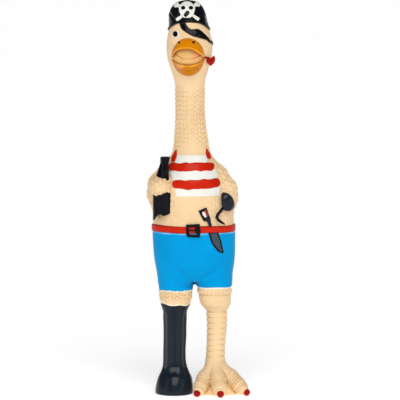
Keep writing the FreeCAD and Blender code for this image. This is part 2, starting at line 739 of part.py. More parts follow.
def make_face(outer, hat):
    """Eye, eye patch with its strap, beak, mouth and the red piece at the mouth's corner."""
    white = relief("eye_shell", outer, head, "eye_relief")
    black = relief("pupil_shell", outer, head, "pupil_relief")
    strap = relief("patch_shell", outer, head, "patch_relief")
    eye = cylinder_y("eye_outline", -18.6, 390.0, 4.0)
    pupil = cylinder_y("pupil_outline", -18.8, 390.2, 2.8)
    eye_whole = cut("eye_white_whole", common("eye_white_disc", white, eye), pupil)
    sub_part("eye_white", cut("eye_white", eye_whole, hat))
    sub_part("eye_pupil", cut("eye_pupil", common("eye_pupil_disc", black, pupil), hat))

    patch = front_prism(
        "patch_outline",
        [(-7.6, 393.6), (-1.8, 394.4), (3.9, 395.0), (8.6, 393.0), (13.2, 388.4)]
        + [(12.6, 385.0), (9.9, 385.2), (6.2, 386.4), (1.9, 388.4), (-2.9, 390.6)],
    )
    band = doc.addObject("Part::Box", "strap_slab")
    band.Length = band.Width = 2 * FRONT
    band.Height = 4.2
    lean = FreeCAD.Rotation(FreeCAD.Vector(0, 1, 0), 29)
    band.Placement = FreeCAD.Placement(
        FreeCAD.Vector(0, 0, 391.0) + lean.multVec(FreeCAD.Vector(-FRONT, -FRONT, -2.1)), lean
    )
    sub_part("eye_patch", cut("eye_patch", common("patch_whole", strap, patch), hat))
    sub_part("patch_strap", cut("patch_strap", common("strap_ring", strap, band), patch, hat))

    upper_body = ellipsoid("upper_beak_body", (-4.9, -20.0, 369.0), (16.8, 19.0, 18.5))
    lower_body = ellipsoid("lower_beak_body", (-4.8, -17.5, 361.5), (16.2, 15.5, 15.8))
    gap_above = cylinder_y("lip_above", -4.9, 353.6, 20.2)
    gap_below = cylinder_y("lip_below", -4.8, 385.0, 27.4)
    keep_above = slab("above_mouth", "362", "400")
    keep_below = slab("below_mouth", "330", "363.6")
    upper = cut("upper_beak_cut", common("upper_beak_half", upper_body, keep_above), outer, gap_above)
    sub_part("upper_beak", upper)
    lower = cut("lower_beak_cut", common("lower_beak_half", lower_body, keep_below), outer, gap_below)
    sub_part("lower_beak", cut("lower_beak", lower, upper))
    lining = ellipsoid("lining_body", (-4.9, -15.0, 365.0), (15.6, 16.0, 12.0))
    lens = common("lining_lens", common("lining_top", lining, gap_above), gap_below)
    sub_part("mouth_lining", cut("mouth_lining", lens, outer, upper, lower))
    spots = []
    for i, x in enumerate((-14.0, 1.4)):
        spot = ellipsoid(f"nostril_{i}", (x, -32.6, 378.0), (1.3, 1.8, 1.3))
        spots.append(cut(f"nostril_spot_{i}", spot, upper_body, outer))
    sub_part("nostrils", group("nostrils", *spots))
    tongue = ellipsoid("tongue_body", (18.4, -13.5, 361.2), (6.6, 3.0, 4.8), -20)
    sub_part("tongue_tip", cut("tongue_tip", tongue, outer, upper_body, lower_body))


def make_boot_leg():
    """The right leg: a ball of skin above and a black boot below."""
    bore = "Sizes.air_passage_radius - 2"
    shell = cut(
        "boot_thigh_shell",
        ball("boot_thigh_ball", "boot_leg"),
        ball("boot_thigh_hollow", "boot_leg", " - Sizes.skin_wall"),
        cylinder_z("boot_thigh_passage", "Sizes.boot_leg_x", "Sizes.leg_y", 100, bore, 30),
    )
    sub_part("right_thigh", common("right_thigh", shell, slab("boot_thigh_span", "98.6", "130")))
    wall = " - Sizes.skin_wall"
    cuff = loft("boot_cuff", table("boot_cuff", BOOT_CUFF))
    shaft_table = table("boot_shaft", BOOT_SHAFT)
    shaft = loft("boot_shaft", shaft_table)
    room = fuse(
        "boot_rooms",
        loft("boot_cuff_room", ("boot_cuff", len(BOOT_CUFF)), wall),
        loft("boot_shaft_room", shaft_table, wall, rows=range(1, len(BOOT_SHAFT))),
    )
    hollow = cut("boot_hollow", fuse("boot_solid", cuff, shaft), room)
    sub_part("boot", cut("boot", hollow, ball("boot_clear", "boot_leg", " - Sizes.skin_wall")))


def make_foot_leg():
    """The left leg: thigh, ringed shank, and a foot with three toes and red nails."""
    bore = "Sizes.air_passage_radius - 2"
    shell = cut(
        "foot_thigh_shell",
        ball("foot_thigh_ball", "foot_leg"),
        ball("foot_thigh_hollow", "foot_leg", " - Sizes.skin_wall"),
        cylinder_z("foot_thigh_passage", "Sizes.foot_leg_x", "Sizes.leg_y", 100, bore, 30),
    )
    sub_part("left_thigh", common("left_thigh", shell, slab("foot_thigh_span", "100", "130")))
    wall = " - Sizes.skin_wall"
    shank_table, cuff_table = table("shank", SHANK), table("ankle_cuff", ANKLE_CUFF)
    solid = fuse("shank_solid", loft("shank_outer", shank_table), loft("cuff_outer", cuff_table))
    room = fuse("shank_rooms", loft("shank_room", shank_table, wall), loft("cuff_room", cuff_table, wall))
    clear = ball("shank_clear", "foot_leg", " - Sizes.skin_wall")
    sub_part("shank", cut("shank", solid, room, clear))

    floor = slab("floor", f"-{FLOOR_DEPTH}", "0")
    foot = loft("foot_outer", table("foot", FOOT))
    foot_room = loft("foot_room", ("foot", len(FOOT)), wall, rows=range(1, len(FOOT)))
    sub_part("foot", cut("foot", foot, foot_room))
    shank_whole = loft("shank_whole", shank_table)
    taken = [foot, floor, shank_whole]
    toes = (("inner_toe", INNER_TOE), ("middle_toe", MIDDLE_TOE), ("outer_toe", OUTER_TOE))
    for name, points in toes:
        x, y, z, radius = points[-1]
        back_x, back_y, back_z, back_radius = points[-2]
        reach = math.dist((x, y), (back_x, back_y))
        ahead = 2.8
        nail_x = x + (x - back_x) / reach * ahead
        nail_y = y + (y - back_y) / reach * ahead
        nail = doc.addObject("Part::Sphere", f"{name}_nail_ball")
        nail.Placement = placement((nail_x, nail_y, size("nail_radius")))
        bind(nail, Radius="Sizes.nail_radius", Placement__Base__z="Sizes.nail_radius - 0.3")
        body = tube(f"{name}_tube", points)
        sub_part(name, cut(name, body, *taken))
        sub_part(f"{name}_nail", cut(f"{name}_nail", nail, body, *taken))
        taken = taken + [body]


def check_document():
    """Stops with a message if any object failed or any piece isn't a sound solid."""
    failed = [o.Name for o in doc.Objects if {"Invalid", "Error"} & set(o.State)]
    for thing in kept:
        shape = thing.Shape
        if shape.isNull() or not shape.isValid() or not shape.Solids:
            failed.append(thing.Label)
    if failed:
        raise RuntimeError(f"not sound: {', '.join(failed)}")


def write_parts():
    """One STEP file for each piece, named after it."""
    os.makedirs("parts", exist_ok=True)
    for old in os.listdir("parts"):
        os.remove(os.path.join("parts", old))
    whole = FreeCAD.BoundBox()
    for thing in kept:
        thing.Shape.exportStep(f"parts/{thing.Label}.step")
        whole.add(thing.Shape.BoundBox)
        print(f"{thing.Label}: {thing.Shape.Volume / 1000:.2f} cm3, {len(thing.Shape.Solids)} solid(s)")
    print(f"{len(kept)} pieces in a box of {whole}")


for alias, value in DRIVING.items():
    cell(alias, value)
torso = table("torso", TORSO)
right_sleeve = table("right_sleeve", RIGHT_SLEEVE)
left_sleeve = table("left_sleeve", LEFT_SLEEVE)
lower_neck = table("lower_neck", LOWER_NECK)
upper_neck = table("upper_neck", UPPER_NECK)
head = table("head", HEAD)
hat_top = table("hat_top", HAT_TOP)
doc.recompute()

torso_outer, belt_surface = make_torso()
make_squeaker()
shirt_front, stripe_front = make_shirt(torso_outer)
make_buckle(belt_surface)
make_dagger(torso_outer, belt_surface)
make_wings(torso_outer, shirt_front, stripe_front)
make_neck()
head_outer, hat_surface = make_head()
make_face(head_outer, hat_surface)
make_boot_leg()
make_foot_leg()
doc.recompute()
check_document()
write_parts()
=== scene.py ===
"""Looks of the pirate rubber chicken: moulded latex skin, painted relief and a plastic squeaker.

The shapes are distance fields in millimetres, measured from the bird's own middle, and are turned
into closed meshes here. Z is up and the bird faces -Y.
"""

import json
import math

import bmesh
import bpy
import numpy as np
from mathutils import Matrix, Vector

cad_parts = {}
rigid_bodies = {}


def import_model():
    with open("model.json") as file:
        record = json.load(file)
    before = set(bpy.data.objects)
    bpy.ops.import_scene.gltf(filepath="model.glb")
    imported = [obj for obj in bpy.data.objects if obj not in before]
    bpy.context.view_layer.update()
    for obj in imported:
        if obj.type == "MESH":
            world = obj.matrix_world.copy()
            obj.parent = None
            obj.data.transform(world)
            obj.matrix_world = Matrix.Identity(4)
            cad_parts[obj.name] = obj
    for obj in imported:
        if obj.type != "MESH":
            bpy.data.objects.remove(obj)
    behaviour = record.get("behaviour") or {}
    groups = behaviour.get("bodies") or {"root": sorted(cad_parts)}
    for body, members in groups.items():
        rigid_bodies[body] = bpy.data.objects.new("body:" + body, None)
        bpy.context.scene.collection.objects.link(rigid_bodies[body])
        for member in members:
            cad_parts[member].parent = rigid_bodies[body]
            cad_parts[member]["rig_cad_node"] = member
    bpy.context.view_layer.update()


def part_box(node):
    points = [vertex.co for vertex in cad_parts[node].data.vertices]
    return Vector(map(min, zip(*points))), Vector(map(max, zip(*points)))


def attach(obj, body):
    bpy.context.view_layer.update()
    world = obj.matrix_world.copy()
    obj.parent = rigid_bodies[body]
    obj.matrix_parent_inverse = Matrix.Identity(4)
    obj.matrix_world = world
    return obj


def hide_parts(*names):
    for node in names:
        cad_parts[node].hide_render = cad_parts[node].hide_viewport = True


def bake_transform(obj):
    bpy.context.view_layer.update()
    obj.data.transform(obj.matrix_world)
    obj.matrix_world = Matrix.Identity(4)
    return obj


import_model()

FINE = 1.0
# the latex's thickness
WALL = 2.4
# where the neck's rubber bends, from its foot to the head
NECK_HEIGHTS = (261, 290, 319, 346)
BELT_HEIGHT = 181.0
SQUEAKER_X, SQUEAKER_Z = 0.5, 163.0


def centre_of(node):
    lo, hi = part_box(node)
    return (Vector(lo) + Vector(hi)) / 2


# the bird's middle in the part's frame, from the upper neck, which stands 3.2 mm to its right
MIDDLE = centre_of("neck_upper") + Vector((0.0032, 0, 0))
MIDDLE.z = 0


def in_frame(x, y, z):
    """A place on the bird, in millimetres, as a point of the part's frame."""
    return MIDDLE + Vector((x, y, z)) / 1000


# ---------------- fields


def smax(a, b, k):
    """The larger of two fields, with the edge between them rounded over a width k."""
    h = np.maximum(k - np.abs(a - b), 0) / k
    return np.maximum(a, b) + h * h * k / 4


def smin(a, b, k):
    return -smax(-a, -b, k)


def bell(t):
    """1 at 0, and nearly 0 beyond 2 on either side."""
    return np.exp(-(t**2))


def step01(t):
    """A smooth step from 0 to 1."""
    t = np.clip(t, 0, 1)
    return t * t * (3 - 2 * t)


def curve(keys, values):
    """A smooth line through some points, as a table to interpolate in."""
    keys, values = np.array(keys, float), np.array(values, float)
    slope = np.gradient(values, keys)
    fine = np.linspace(keys[0], keys[-1], 1200)
    i = np.clip(np.searchsorted(keys, fine) - 1, 0, len(keys) - 2)
    gap = keys[i + 1] - keys[i]
    t = (fine - keys[i]) / gap
    a = (2 * t**3 - 3 * t**2 + 1) * values[i] + (t**3 - 2 * t**2 + t) * gap * slope[i]
    b = (-2 * t**3 + 3 * t**2) * values[i + 1] + (t**3 - t**2) * gap * slope[i + 1]
    return fine, a + b


class Loft:
    """A field round upright ellipses: height, centre x, centre y, half width, half depth."""

    def __init__(self, stations):
        stations = sorted(stations)
        z = [s[0] for s in stations]
        self.columns = [curve(z, [s[i] for s in stations]) for i in range(1, 5)]

    def at(self, z):
        return [np.interp(z, keys, values) for keys, values in self.columns]

    def __call__(self, x, y, z):
        cx, cy, rx, ry = self.at(z)
        ax, ay, bx, by = self.at(z + 0.5)
        u, v = (x - cx) / rx, (y - cy) / ry
        g = np.sqrt(u * u + v * v) + 1e-6
        over = np.sqrt(((x - ax) / bx) ** 2 + ((y - ay) / by) ** 2) - g
        slope = np.sqrt((u / rx) ** 2 + (v / ry) ** 2) / g
        return (g - 1) / np.sqrt(slope**2 + (over * 2) ** 2 + 1e-9)


def ball(x, y, z, c, r):
    return np.sqrt((x - c[0]) ** 2 + (y - c[1]) ** 2 + (z - c[2]) ** 2) - r


def egg(x, y, z, c, r, turn=0.0, axis="y"):
    """An ellipsoid, turned by some degrees about an axis through its centre."""
    p = [x - c[0], y - c[1], z - c[2]]
    if turn:
        a = math.radians(turn)
        i, j = {"x": (1, 2), "y": (2, 0), "z": (0, 1)}[axis]
        p[i], p[j] = p[i] * math.cos(a) + p[j] * math.sin(a), p[j] * math.cos(a) - p[i] * math.sin(a)
    q = [p[i] / r[i] for i in range(3)]
    k0 = np.sqrt(q[0] ** 2 + q[1] ** 2 + q[2] ** 2) + 1e-6
    k1 = np.sqrt(sum((q[i] / r[i]) ** 2 for i in range(3))) + 1e-9
    return k0 * (k0 - 1) / k1


def stick(x, y, z, a, b, ra, rb):
    """A capsule whose radius changes along it, and how far along it each point lies."""
    a, b = np.array(a, float), np.array(b, float)
    d = b - a
    t = ((x - a[0]) * d[0] + (y - a[1]) * d[1] + (z - a[2]) * d[2]) / (d @ d)
    t = np.clip(t, 0, 1)
    gap = np.sqrt((x - a[0] - t * d[0]) ** 2 + (y - a[1] - t * d[1]) ** 2 + (z - a[2] - t * d[2]) ** 2)
    return gap - (ra + t * (rb - ra)), t


def limb(x, y, z, points, k=2.0):
    """Capsules end to end through (x, y, z, radius) points, and the length along them."""
    best, along, run = None, None, 0.0
    for p, q in zip(points[:-1], points[1:]):
        d, t = stick(x, y, z, p[:3], q[:3], p[3], q[3])
        length = math.dist(p[:3], q[:3])
        here = run + t * length
        if best is None:
            best, along = d, here
        else:
            along = np.where(d < best, here, along)
            best = smin(best, d, k)
        run += length
    return best, along


def flat_limb(x, z, points, k=0.6):
    """The same seen from the front: (x, z, radius) points."""
    zero = np.zeros_like(x)
    return limb(x, zero, z, [(p[0], 0.0, p[1], p[2]) for p in points], k)[0]


def polygon(x, z, corners):
    """Distance to a closed outline seen from the front."""
    corners = np.array(corners, float)
    best = np.full_like(x, 1e9)
    inside = np.zeros(x.shape, bool)
    for (ax, az), (bx, bz) in zip(corners, np.roll(corners, -1, axis=0)):
        ex, ez = bx - ax, bz - az
        t = np.clip(((x - ax) * ex + (z - az) * ez) / (ex * ex + ez * ez), 0, 1)
        best = np.minimum(best, (x - ax - t * ex) ** 2 + (z - az - t * ez) ** 2)
        crosses = (az > z) != (bz > z)
        rise = np.where(bz == az, 1e-9, bz - az)
        inside ^= crosses & (x < (bx - ax) * (z - az) / rise + ax)
    return np.sqrt(best) * np.where(inside, -1, 1)


def softened(corners, times=2):
    """A closed outline with its corners cut off, some times over."""
    corners = np.array(corners, float)
    for _ in range(times):
        after = np.roll(corners, -1, axis=0)
        pairs = np.stack([corners * 0.75 + after * 0.25, corners * 0.25 + after * 0.75], 1)
        corners = pairs.reshape(-1, 2)
    return corners


def drops(u, v, wide=0.44, tall=0.47, taper=0.45, power=2, stagger=0.5):
    """A staggered pattern of plucked-skin drops, 0 to 1; u and v count drops across and down."""
    column = np.floor(u)
    across = u - column - 0.5
    down = v + stagger * (column % 2) + 0.1 * np.sin(column * 2.4)
    row = np.floor(down)
    down = down - row - 0.5
    across = across + 0.06 * np.sin(row * 5.1 + column * 1.7)
    narrow = wide * (1.0 - taper * np.clip(down * 2, -1, 1))
    return np.clip(1 - np.abs(across / narrow) ** power - np.abs(down / tall) ** power, 0, 1) ** 0.8


# ---------------- the bird's skin

TRUNK = Loft([
    (116, 2, 3, 14, 13),
    (120, 2, 3, 23, 18.5),
    (127, 1.9, 2.8, 32, 24.5),
    (137, 1.8, 2.6, 39.2, 29.6),
    (148, 1.5, 2.3, 42.3, 32),
    (160, 1.2, 2, 43.3, 32.8),
    (181, 0.6, 1.6, 43.8, 33.2),
    (206, -0.2, 1.4, 42.6, 33.4),
    (228, -0.9, 1, 37.5, 31.2),
    (246, -1.4, 0.6, 29.6, 25.8),
    (258, -1.7, 0.3, 22.6, 20.4),
    (266, -1.8, 0.1, 19.2, 18.2),
    (275.5, -2, 0, 17.8, 17.6),
    (286.7, -2.5, 0, 16.6, 16.6),
    (299.7, -2.9, 0, 15.5, 15.5),
    (313, -3.2, 0, 15.2, 15.2),
    (324.5, -3.2, 0, 15.4, 15.4),
    (333.5, -3.3, 0, 15.8, 15.8),
    (342, -3.5, -0.5, 17.2, 17.5),
    (352, -3.7, -1, 20.3, 20.8),
    (362, -3.7, -1.5, 23.3, 23.6),
    (373, -3.7, -1.5, 24.6, 24.8),
    (384, -3.8, -1.2, 24, 24.2),
    (395, -4.4, -0.8, 21.4, 21.8),
    (406, -5.2, -0.5, 18.2, 18.8),
    (416, -5.8, -0.2, 13.9, 14.4),
    (421, -6, 0, 9.6, 9.8),
    (424.6, -6, 0, 2, 2),
])
RIGHT_LEG = Loft([
    (0, -20.5, -1.4, 20.1, 20.6),
    (3, -20.5, -1.4, 20.2, 20.6),
    (7, -20.3, -1.2, 20, 20.2),
    (13, -19.9, -0.8, 19.2, 19.2),
    (19, -19.6, -0.2, 17.4, 17.4),
    (23.5, -19.6, 0.3, 14.8, 14.8),
    (28, -19.7, 0.7, 12.8, 12.8),
    (34, -20, 1, 11.7, 11.7),
    (42, -20.2, 1, 11.4, 11.4),
    (64, -19.6, 1, 11.6, 11.7),
    (80, -19.6, 1, 11.9, 12.1),
    (89, -19.5, 1, 12.6, 12.8),
    (94, -19.3, 1, 14.4, 14.4),
    (97, -19, 1, 15.7, 15.7),
    (100.5, -18.9, 1, 16.4, 16.4),
    (106, -18.8, 1, 16.9, 16.9),
    (114, -18.8, 1, 17.4, 17.6),
    (124, -19, 1.4, 18.6, 19.4),
    (150, -19.4, 2, 20, 22),
])
LEFT_LEG = Loft([
    (0, 28.8, -1, 20.5, 16.5),
    (6, 28.5, -1, 20, 16),
    (14, 26.8, -1.4, 17, 14.4),
    (21, 25.4, -1, 14, 13),
    (28, 24.6, 0, 12, 11.8),
    (36, 24.2, 0.8, 10.8, 10.8),
    (48, 24.5, 1, 10.1, 10.2),
    (60, 25.2, 1, 10.4, 10.5),
    (73, 25.9, 1, 10.9, 11),
    (86, 25.8, 1, 11.4, 11.5),
    (91.5, 25.6, 1, 12, 12),
    (94.5, 25.1, 1, 14.2, 14.2),
    (97, 24.6, 1, 16, 16),
    (101, 24.1, 1, 16.9, 16.9),
    (107, 23.7, 1, 17.5, 17.5),
    (114, 23.3, 1, 18.2, 18.2),
    (124, 23, 1.3, 19, 19.6),
    (150, 22.6, 2, 20, 22),
])
# routes down the middle of each toe and wing, as (x, y, z, radius)
INNER_TOE = [(20.5, -3.5, 27, 8.2), (12.6, -11.5, 17.8, 8.2), (7.6, -20, 9.4, 7), (5.9, -25, 6, 5.6)]
MIDDLE_TOE = [(25.2, -5.5, 27, 8.6), (27.2, -15.5, 16.6, 8.4), (28.8, -25, 8.6, 7.2), (29.2, -30, 5.9, 5.7)]
OUTER_TOE = [(30, -4, 26.5, 8.6), (41, -9, 18.2, 8.6), (50.4, -14, 10.2, 7.4), (54.6, -18, 6.2, 5.8)]
RIGHT_WING = [(-24, 4, 248, 8), (-36.3, -3, 228, 11.2), (-37.9, -5, 216.5, 10.6), (-36.6, -3, 208, 8.6)]
LEFT_WING = [(17, -1, 247, 8.5), (27, -3, 237, 9.6), (35.6, -5, 223, 10.7), (37.3, -7, 213, 9.9)]
LEFT_WING += [(36.4, -6, 202, 7.6)]
# the right wing's end, as an egg's middle, half sizes and turn
HAND = ((-35.4, -18.6, 226.8), (12.2, 16.2, 11.6), -4)


def wings(x, y, z):
    """Right wing bent round the bottle, left wing along the side to the hook."""
    right = smin(limb(x, y, z, RIGHT_WING, 4)[0], egg(x, y, z, *HAND), 6)
    left = limb(x, y, z, LEFT_WING, 5)[0]
    return smin(right, left, 1.0)


def toes(x, y, z):
    """The three toes, ringed all along."""
    best = None
    for points in (INNER_TOE, MIDDLE_TOE, OUTER_TOE):
        d, along = limb(x, y, z, points, 3)
        rings = 0.42 * np.cos(2 * math.pi * (along - 1.0) / 2.55) * step01((along - 9) / 6)
        d = d - rings
        best = d if best is None else smin(best, d, 1.0)
    web = egg(x, y, z, (27.5, -8.0, -2.0), (21.0, 13.5, 12.0))
    return smin(best, web, 2.0)


def torso_skin(x, y, z):
    """Torso, neck and head with the wings, and the plucked skin's drops."""
    trunk = smax(TRUNK(x, y, z), z - 422.0, 3.0)
    cx, cy, rx, ry = TRUNK.at(z)
    angle = np.arctan2(x - cx, -(y - cy))
    side = wings(x, y, z)
    near = (z > 185) & (z < 265)
    d = np.where(near, smin(trunk, np.where(near, side, 50), 5.0), trunk)
    on_wing = step01((trunk - side) / 5 + 0.4) * (z < 262)
    neck = drops(angle * 26 / (2 * math.pi), z / 4.9, 0.46, 0.46, 0.15, 2.4, 0.14)
    neck_share = 0.9 * step01((z - 272 + 14 * np.abs(np.sin(angle))) / 10) * step01((338 - z) / 14)
    chest = drops(angle * 50 / (2 * math.pi), z / 6.6)
    on_hand = step01((6 - egg(x, y, z, *HAND)) / 3) * (y < -16) * (x < -20)
    chest = chest * (1 - on_hand) + drops(x / 4.6, z / 6.6) * on_hand
    chest_share = (0.42 + 0.4 * on_wing) * step01((z - 185) / 5) * step01((256 - z) / 8)
    fold = flat_limb(x, z, [(-22.5, 379, 0), (-24.2, 372.5, 0), (-23.8, 362.5, 0)])
    cheek = 0.55 * bell(fold / 0.8) * (y < 0)
    return d - neck * neck_share - chest * chest_share + cheek


def right_leg_skin(x, y, z):
    """The right thigh: a frill of knobs under the hem and another over the boot."""
    d = RIGHT_LEG(x, y, z)
    angle = np.arctan2(x + 18.9, -(y - 1))
    knobs = drops(angle * 26 / (2 * math.pi), (z - 103.4) / 4.2, 0.46, 0.46, 0.2)
    return d - 1.15 * knobs * step01((z - 101.6) / 1.5) * step01((114.5 - z) / 1.5)


def left_leg_skin(x, y, z):
    """The left leg: a frilled cuff, a ringed shank and a webbed foot with ringed toes."""
    d = LEFT_LEG(x, y, z)
    angle = np.arctan2(x - 24, -(y - 1))
    scallop = np.abs(np.sin(angle * 12))
    frill = 1.15 * scallop**0.7 * np.exp(-(((z - 111.6) / 2.1) ** 4))
    line = 0.55 * bell((z - 108.9 + 1.0 * scallop) / 0.7)
    lean = z + 0.5 * np.sin(angle * 2 + z) - 0.9 * np.cos(angle)
    count = (lean - 40.2) / 6.1
    groove = bell((count - np.round(count)) * 6.1 / 0.75) * (np.round(count) >= 0)
    shank = step01((z - 36) / 3) * step01((95.0 - z) / 2)
    swell = 0.20 * np.cos(2 * math.pi * (count - 0.5)) * shank
    d = d - frill + line + 0.48 * groove * shank - swell
    foot = z < 46
    feet = np.where(foot, toes(x, y, z), 60)
    d = np.where(foot, smin(d, feet, 3.5), d)
    return smax(d, 0.25 - z, 1.4)


def hips(x, y, z):
    """The shorts' surface: hips and two sleeves, a crease up from the crotch and soft folds."""
    trunk = smax(TRUNK(x, y, z) - 0.75, 121.0 - z, 5.0)
    right = RIGHT_LEG(x, y, z) - 0.7
    left = LEFT_LEG(x, y, z) - 0.7
    d = smin(trunk, smin(right, left, 8.0), 5.0)
    belly = 1.3 * bell((x - 2.5) / 14) * bell((z - 148) / 11) * (y < 0)
    fold_right = flat_limb(x, z, [(-25, 147, 0), (-14, 135.5, 0), (1.3, 121, 0)], 2)
    fold_left = flat_limb(x, z, [(32, 147, 0), (22, 136, 0), (1.3, 121, 0)], 2)
    fade = step01((149 - z) / 20) * (y < 4)
    folds = 1.8 * fade * bell(np.minimum(fold_right, fold_left) / 2.8)
    return d - belly + folds


# ---------------- meshes


# a cell's eight corners, and how many cells a coarse block has along each side
CORNERS = [(i, j, k) for i in (0, 1) for j in (0, 1) for k in (0, 1)]
BLOCK = 4
POINTS_AT_ONCE = 400000
JUST_OUTSIDE = 0.01


def at_corners(values, cells):
    """A grid's values at the cells' first corners, then at their second, and so on."""
    for i, j, k in CORNERS:
        yield values[i : i + cells[0], j : j + cells[1], k : k + cells[2]]


def sampled(field, lo, hi, step):
    """The field on a grid: worked out near its zero level, and taken from coarse blocks elsewhere."""
    count = np.maximum(np.ceil((np.array(hi, float) - lo) / (step * BLOCK)).astype(int), 2)
    rough = [lo[i] + np.arange(count[i] + 1) * step * BLOCK for i in range(3)]
    grid = np.meshgrid(*rough, indexing="ij")
    coarse = field(*[g.ravel() for g in grid]).reshape(grid[0].shape)
    lowest = np.minimum.reduce(list(at_corners(coarse, count)))
    highest = np.maximum.reduce(list(at_corners(coarse, count)))
    reach = step * BLOCK * 1.3
    active = (lowest < reach) & (highest > -reach)
    size = count * BLOCK + 1
    pick = [np.minimum(np.arange(size[i]) // BLOCK, count[i] - 1) for i in range(3)]
    values = coarse[np.ix_(*pick)].copy()
    wanted = np.zeros(tuple(size), bool)
    for corner in CORNERS:
        shift = [np.clip((np.arange(size[a]) - corner[a]) // BLOCK, 0, count[a] - 1) for a in range(3)]
        wanted |= active[np.ix_(*shift)]
    index = np.nonzero(wanted)
    place = [lo[a] + index[a] * step for a in range(3)]
    found = np.empty(len(index[0]))
    for start in range(0, len(found), POINTS_AT_ONCE):
        part = slice(start, start + POINTS_AT_ONCE)
        found[part] = field(*[p[part] for p in place])
    values[index] = found
    return values


def close_sides(values):
    """Empties the grid's outermost points, so that every solid ends inside the grid."""
    for axis in range(3):
        for end in (0, -1):
            side = [slice(None)] * 3
            side[axis] = end
            values[tuple(side)] = np.maximum(values[tuple(side)], JUST_OUTSIDE)


def part_touching_edges(values):
    """Empties grid points where two bits of solid would meet along an edge only."""
    for _ in range(4):
        inside = values < 0
        for a, b in ((0, 1), (0, 2), (1, 2)):
            corner, cut = {}, {}
            for i in (0, 1):
                for j in (0, 1):
                    picked = [slice(None)] * 3
                    picked[a] = slice(i, values.shape[a] - 1 + i)
                    picked[b] = slice(j, values.shape[b] - 1 + j)
                    cut[i, j] = tuple(picked)
                    corner[i, j] = inside[cut[i, j]]
            rising = corner[0, 0] & corner[1, 1] & ~corner[1, 0] & ~corner[0, 1]
            falling = corner[1, 0] & corner[0, 1] & ~corner[0, 0] & ~corner[1, 1]
            values[cut[0, 0]][rising] = JUST_OUTSIDE
            values[cut[1, 0]][falling] = JUST_OUTSIDE


def net_points(values, cells):
    """A point in each cell: the middle of the places where its edges cross the zero level."""
    base = np.stack(cells, 1).astype(float)
    sums, hits = np.zeros((len(base), 3)), np.zeros(len(base))
    for axis in range(3):
        for corner in CORNERS:
            if corner[axis]:
                continue
            far = np.array(corner)
            far[axis] = 1
            a = values[tuple(cells[n] + corner[n] for n in range(3))]
            b = values[tuple(cells[n] + far[n] for n in range(3))]
            cross = (a < 0) != (b < 0)
            point = base + corner
            point[:, axis] += np.where(cross, a / np.where(cross, a - b, 1), 0)
            sums[cross] += point[cross]
            hits += cross
    return sums / hits[:, None]


def net_quads(inside, number):
    """A quad, facing outwards, round each of the grid's edges that crosses the zero level."""
    quads = []
    for axis, (b, c) in enumerate(((1, 2), (2, 0), (0, 1))):
        near = [slice(1, -1)] * 3
        near[axis] = slice(0, -1)
        next_to = [slice(1, -1)] * 3
        next_to[axis] = slice(1, None)
        first, second = inside[tuple(near)], inside[tuple(next_to)]
        where = np.nonzero(first != second)
        corner = [w + (0 if a == axis else 1) for a, w in enumerate(where)]
        around = []
        for db, dc in ((-1, -1), (0, -1), (0, 0), (-1, 0)):
            at = list(corner)
            at[b], at[c] = at[b] + db, at[c] + dc
            around.append(number[tuple(at)])
        face = np.stack(around, 1)
        flip = ~first[where]
        face[flip] = face[flip][:, ::-1]
        quads.append(face)
    return np.concatenate(quads)


def surface(field, lo, hi, step):
    """Points and quads of the field's zero level, by surface nets, drawn close to the field."""
    lo = np.array(lo, float)
    values = sampled(field, lo, hi, step)
    close_sides(values)
    part_touching_edges(values)
    inside = values < 0
    size = [n - 1 for n in values.shape]
    filled = sum(corner.astype(np.int8) for corner in at_corners(inside, size))
    cells = np.nonzero((filled > 0) & (filled < 8))
    number = np.full(size, -1, np.int64)
    number[cells] = np.arange(len(cells[0]))
    points = lo + net_points(values, cells) * step
    for _ in range(2):
        value, normal, steep = slope_of(field, points, 0.15)
        points -= normal * np.clip(value / np.maximum(steep, 0.4), -0.35 * step, 0.35 * step)[:, None]
    return points, net_quads(inside, number)


def slope_of(field, points, reach):
    """The field at some points, its direction and its steepness."""
    x, y, z = points.T
    value = field(x, y, z)
    slope = np.stack([
        field(x + reach, y, z) - field(x - reach, y, z),
        field(x, y + reach, z) - field(x, y - reach, z),
        field(x, y, z + reach) - field(x, y, z - reach),
    ], 1) / (2 * reach)
    steep = np.linalg.norm(slope, axis=1)
    return value, slope / np.maximum(steep, 1e-6)[:, None], steep


def painted_shade_share(field, points, rim):
    """Painted shade, 0 to 1: how deep in a hollow each point lies, from the field's average just round it,
    and darker lines along a rim's grooves and joins.
    """
    x, y, z = points.T
    total = 0
    for r in (0.9, 1.8):
        for dx, dy, dz in ((r, 0, 0), (-r, 0, 0), (0, r, 0), (0, -r, 0), (0, 0, r), (0, 0, -r)):
            total = total + field(x + dx, y + dy, z + dz)
    share = np.clip(0.05 - total / 12 / 0.3, 0, 1)
    if rim is not None:
        share = np.maximum(share, 0.75 * bell(rim(x, y, z) / 0.8))
    return share


def painted_highlight_share(points, line):
    """Painted highlight, 0 to 1: how near a pale highlight line each point lies; line is a distance from it.
    """
    if line is None:
        return np.zeros(len(points))
    return bell(line(*points.T) / 0.75)


def add(name, points, faces, material, shares):
    """A mesh object from points in millimetres about the bird's middle, with a number at each point."""
    mesh = bpy.data.meshes.new(name)
    verts = np.asarray(points) / 1000 + np.array(MIDDLE)
    mesh.from_pydata(verts.tolist(), [], [list(map(int, f)) for f in faces])
    for share_name, share in shares.items():
        made = mesh.attributes.new(share_name, "FLOAT", "POINT")
        made.data.foreach_set("value", share.astype(np.float32))
    mesh.validate()
    mesh.shade_smooth()
    mesh.materials.append(material)
    made = bpy.data.objects.new(name, mesh)
    bpy.context.scene.collection.objects.link(made)
    return made


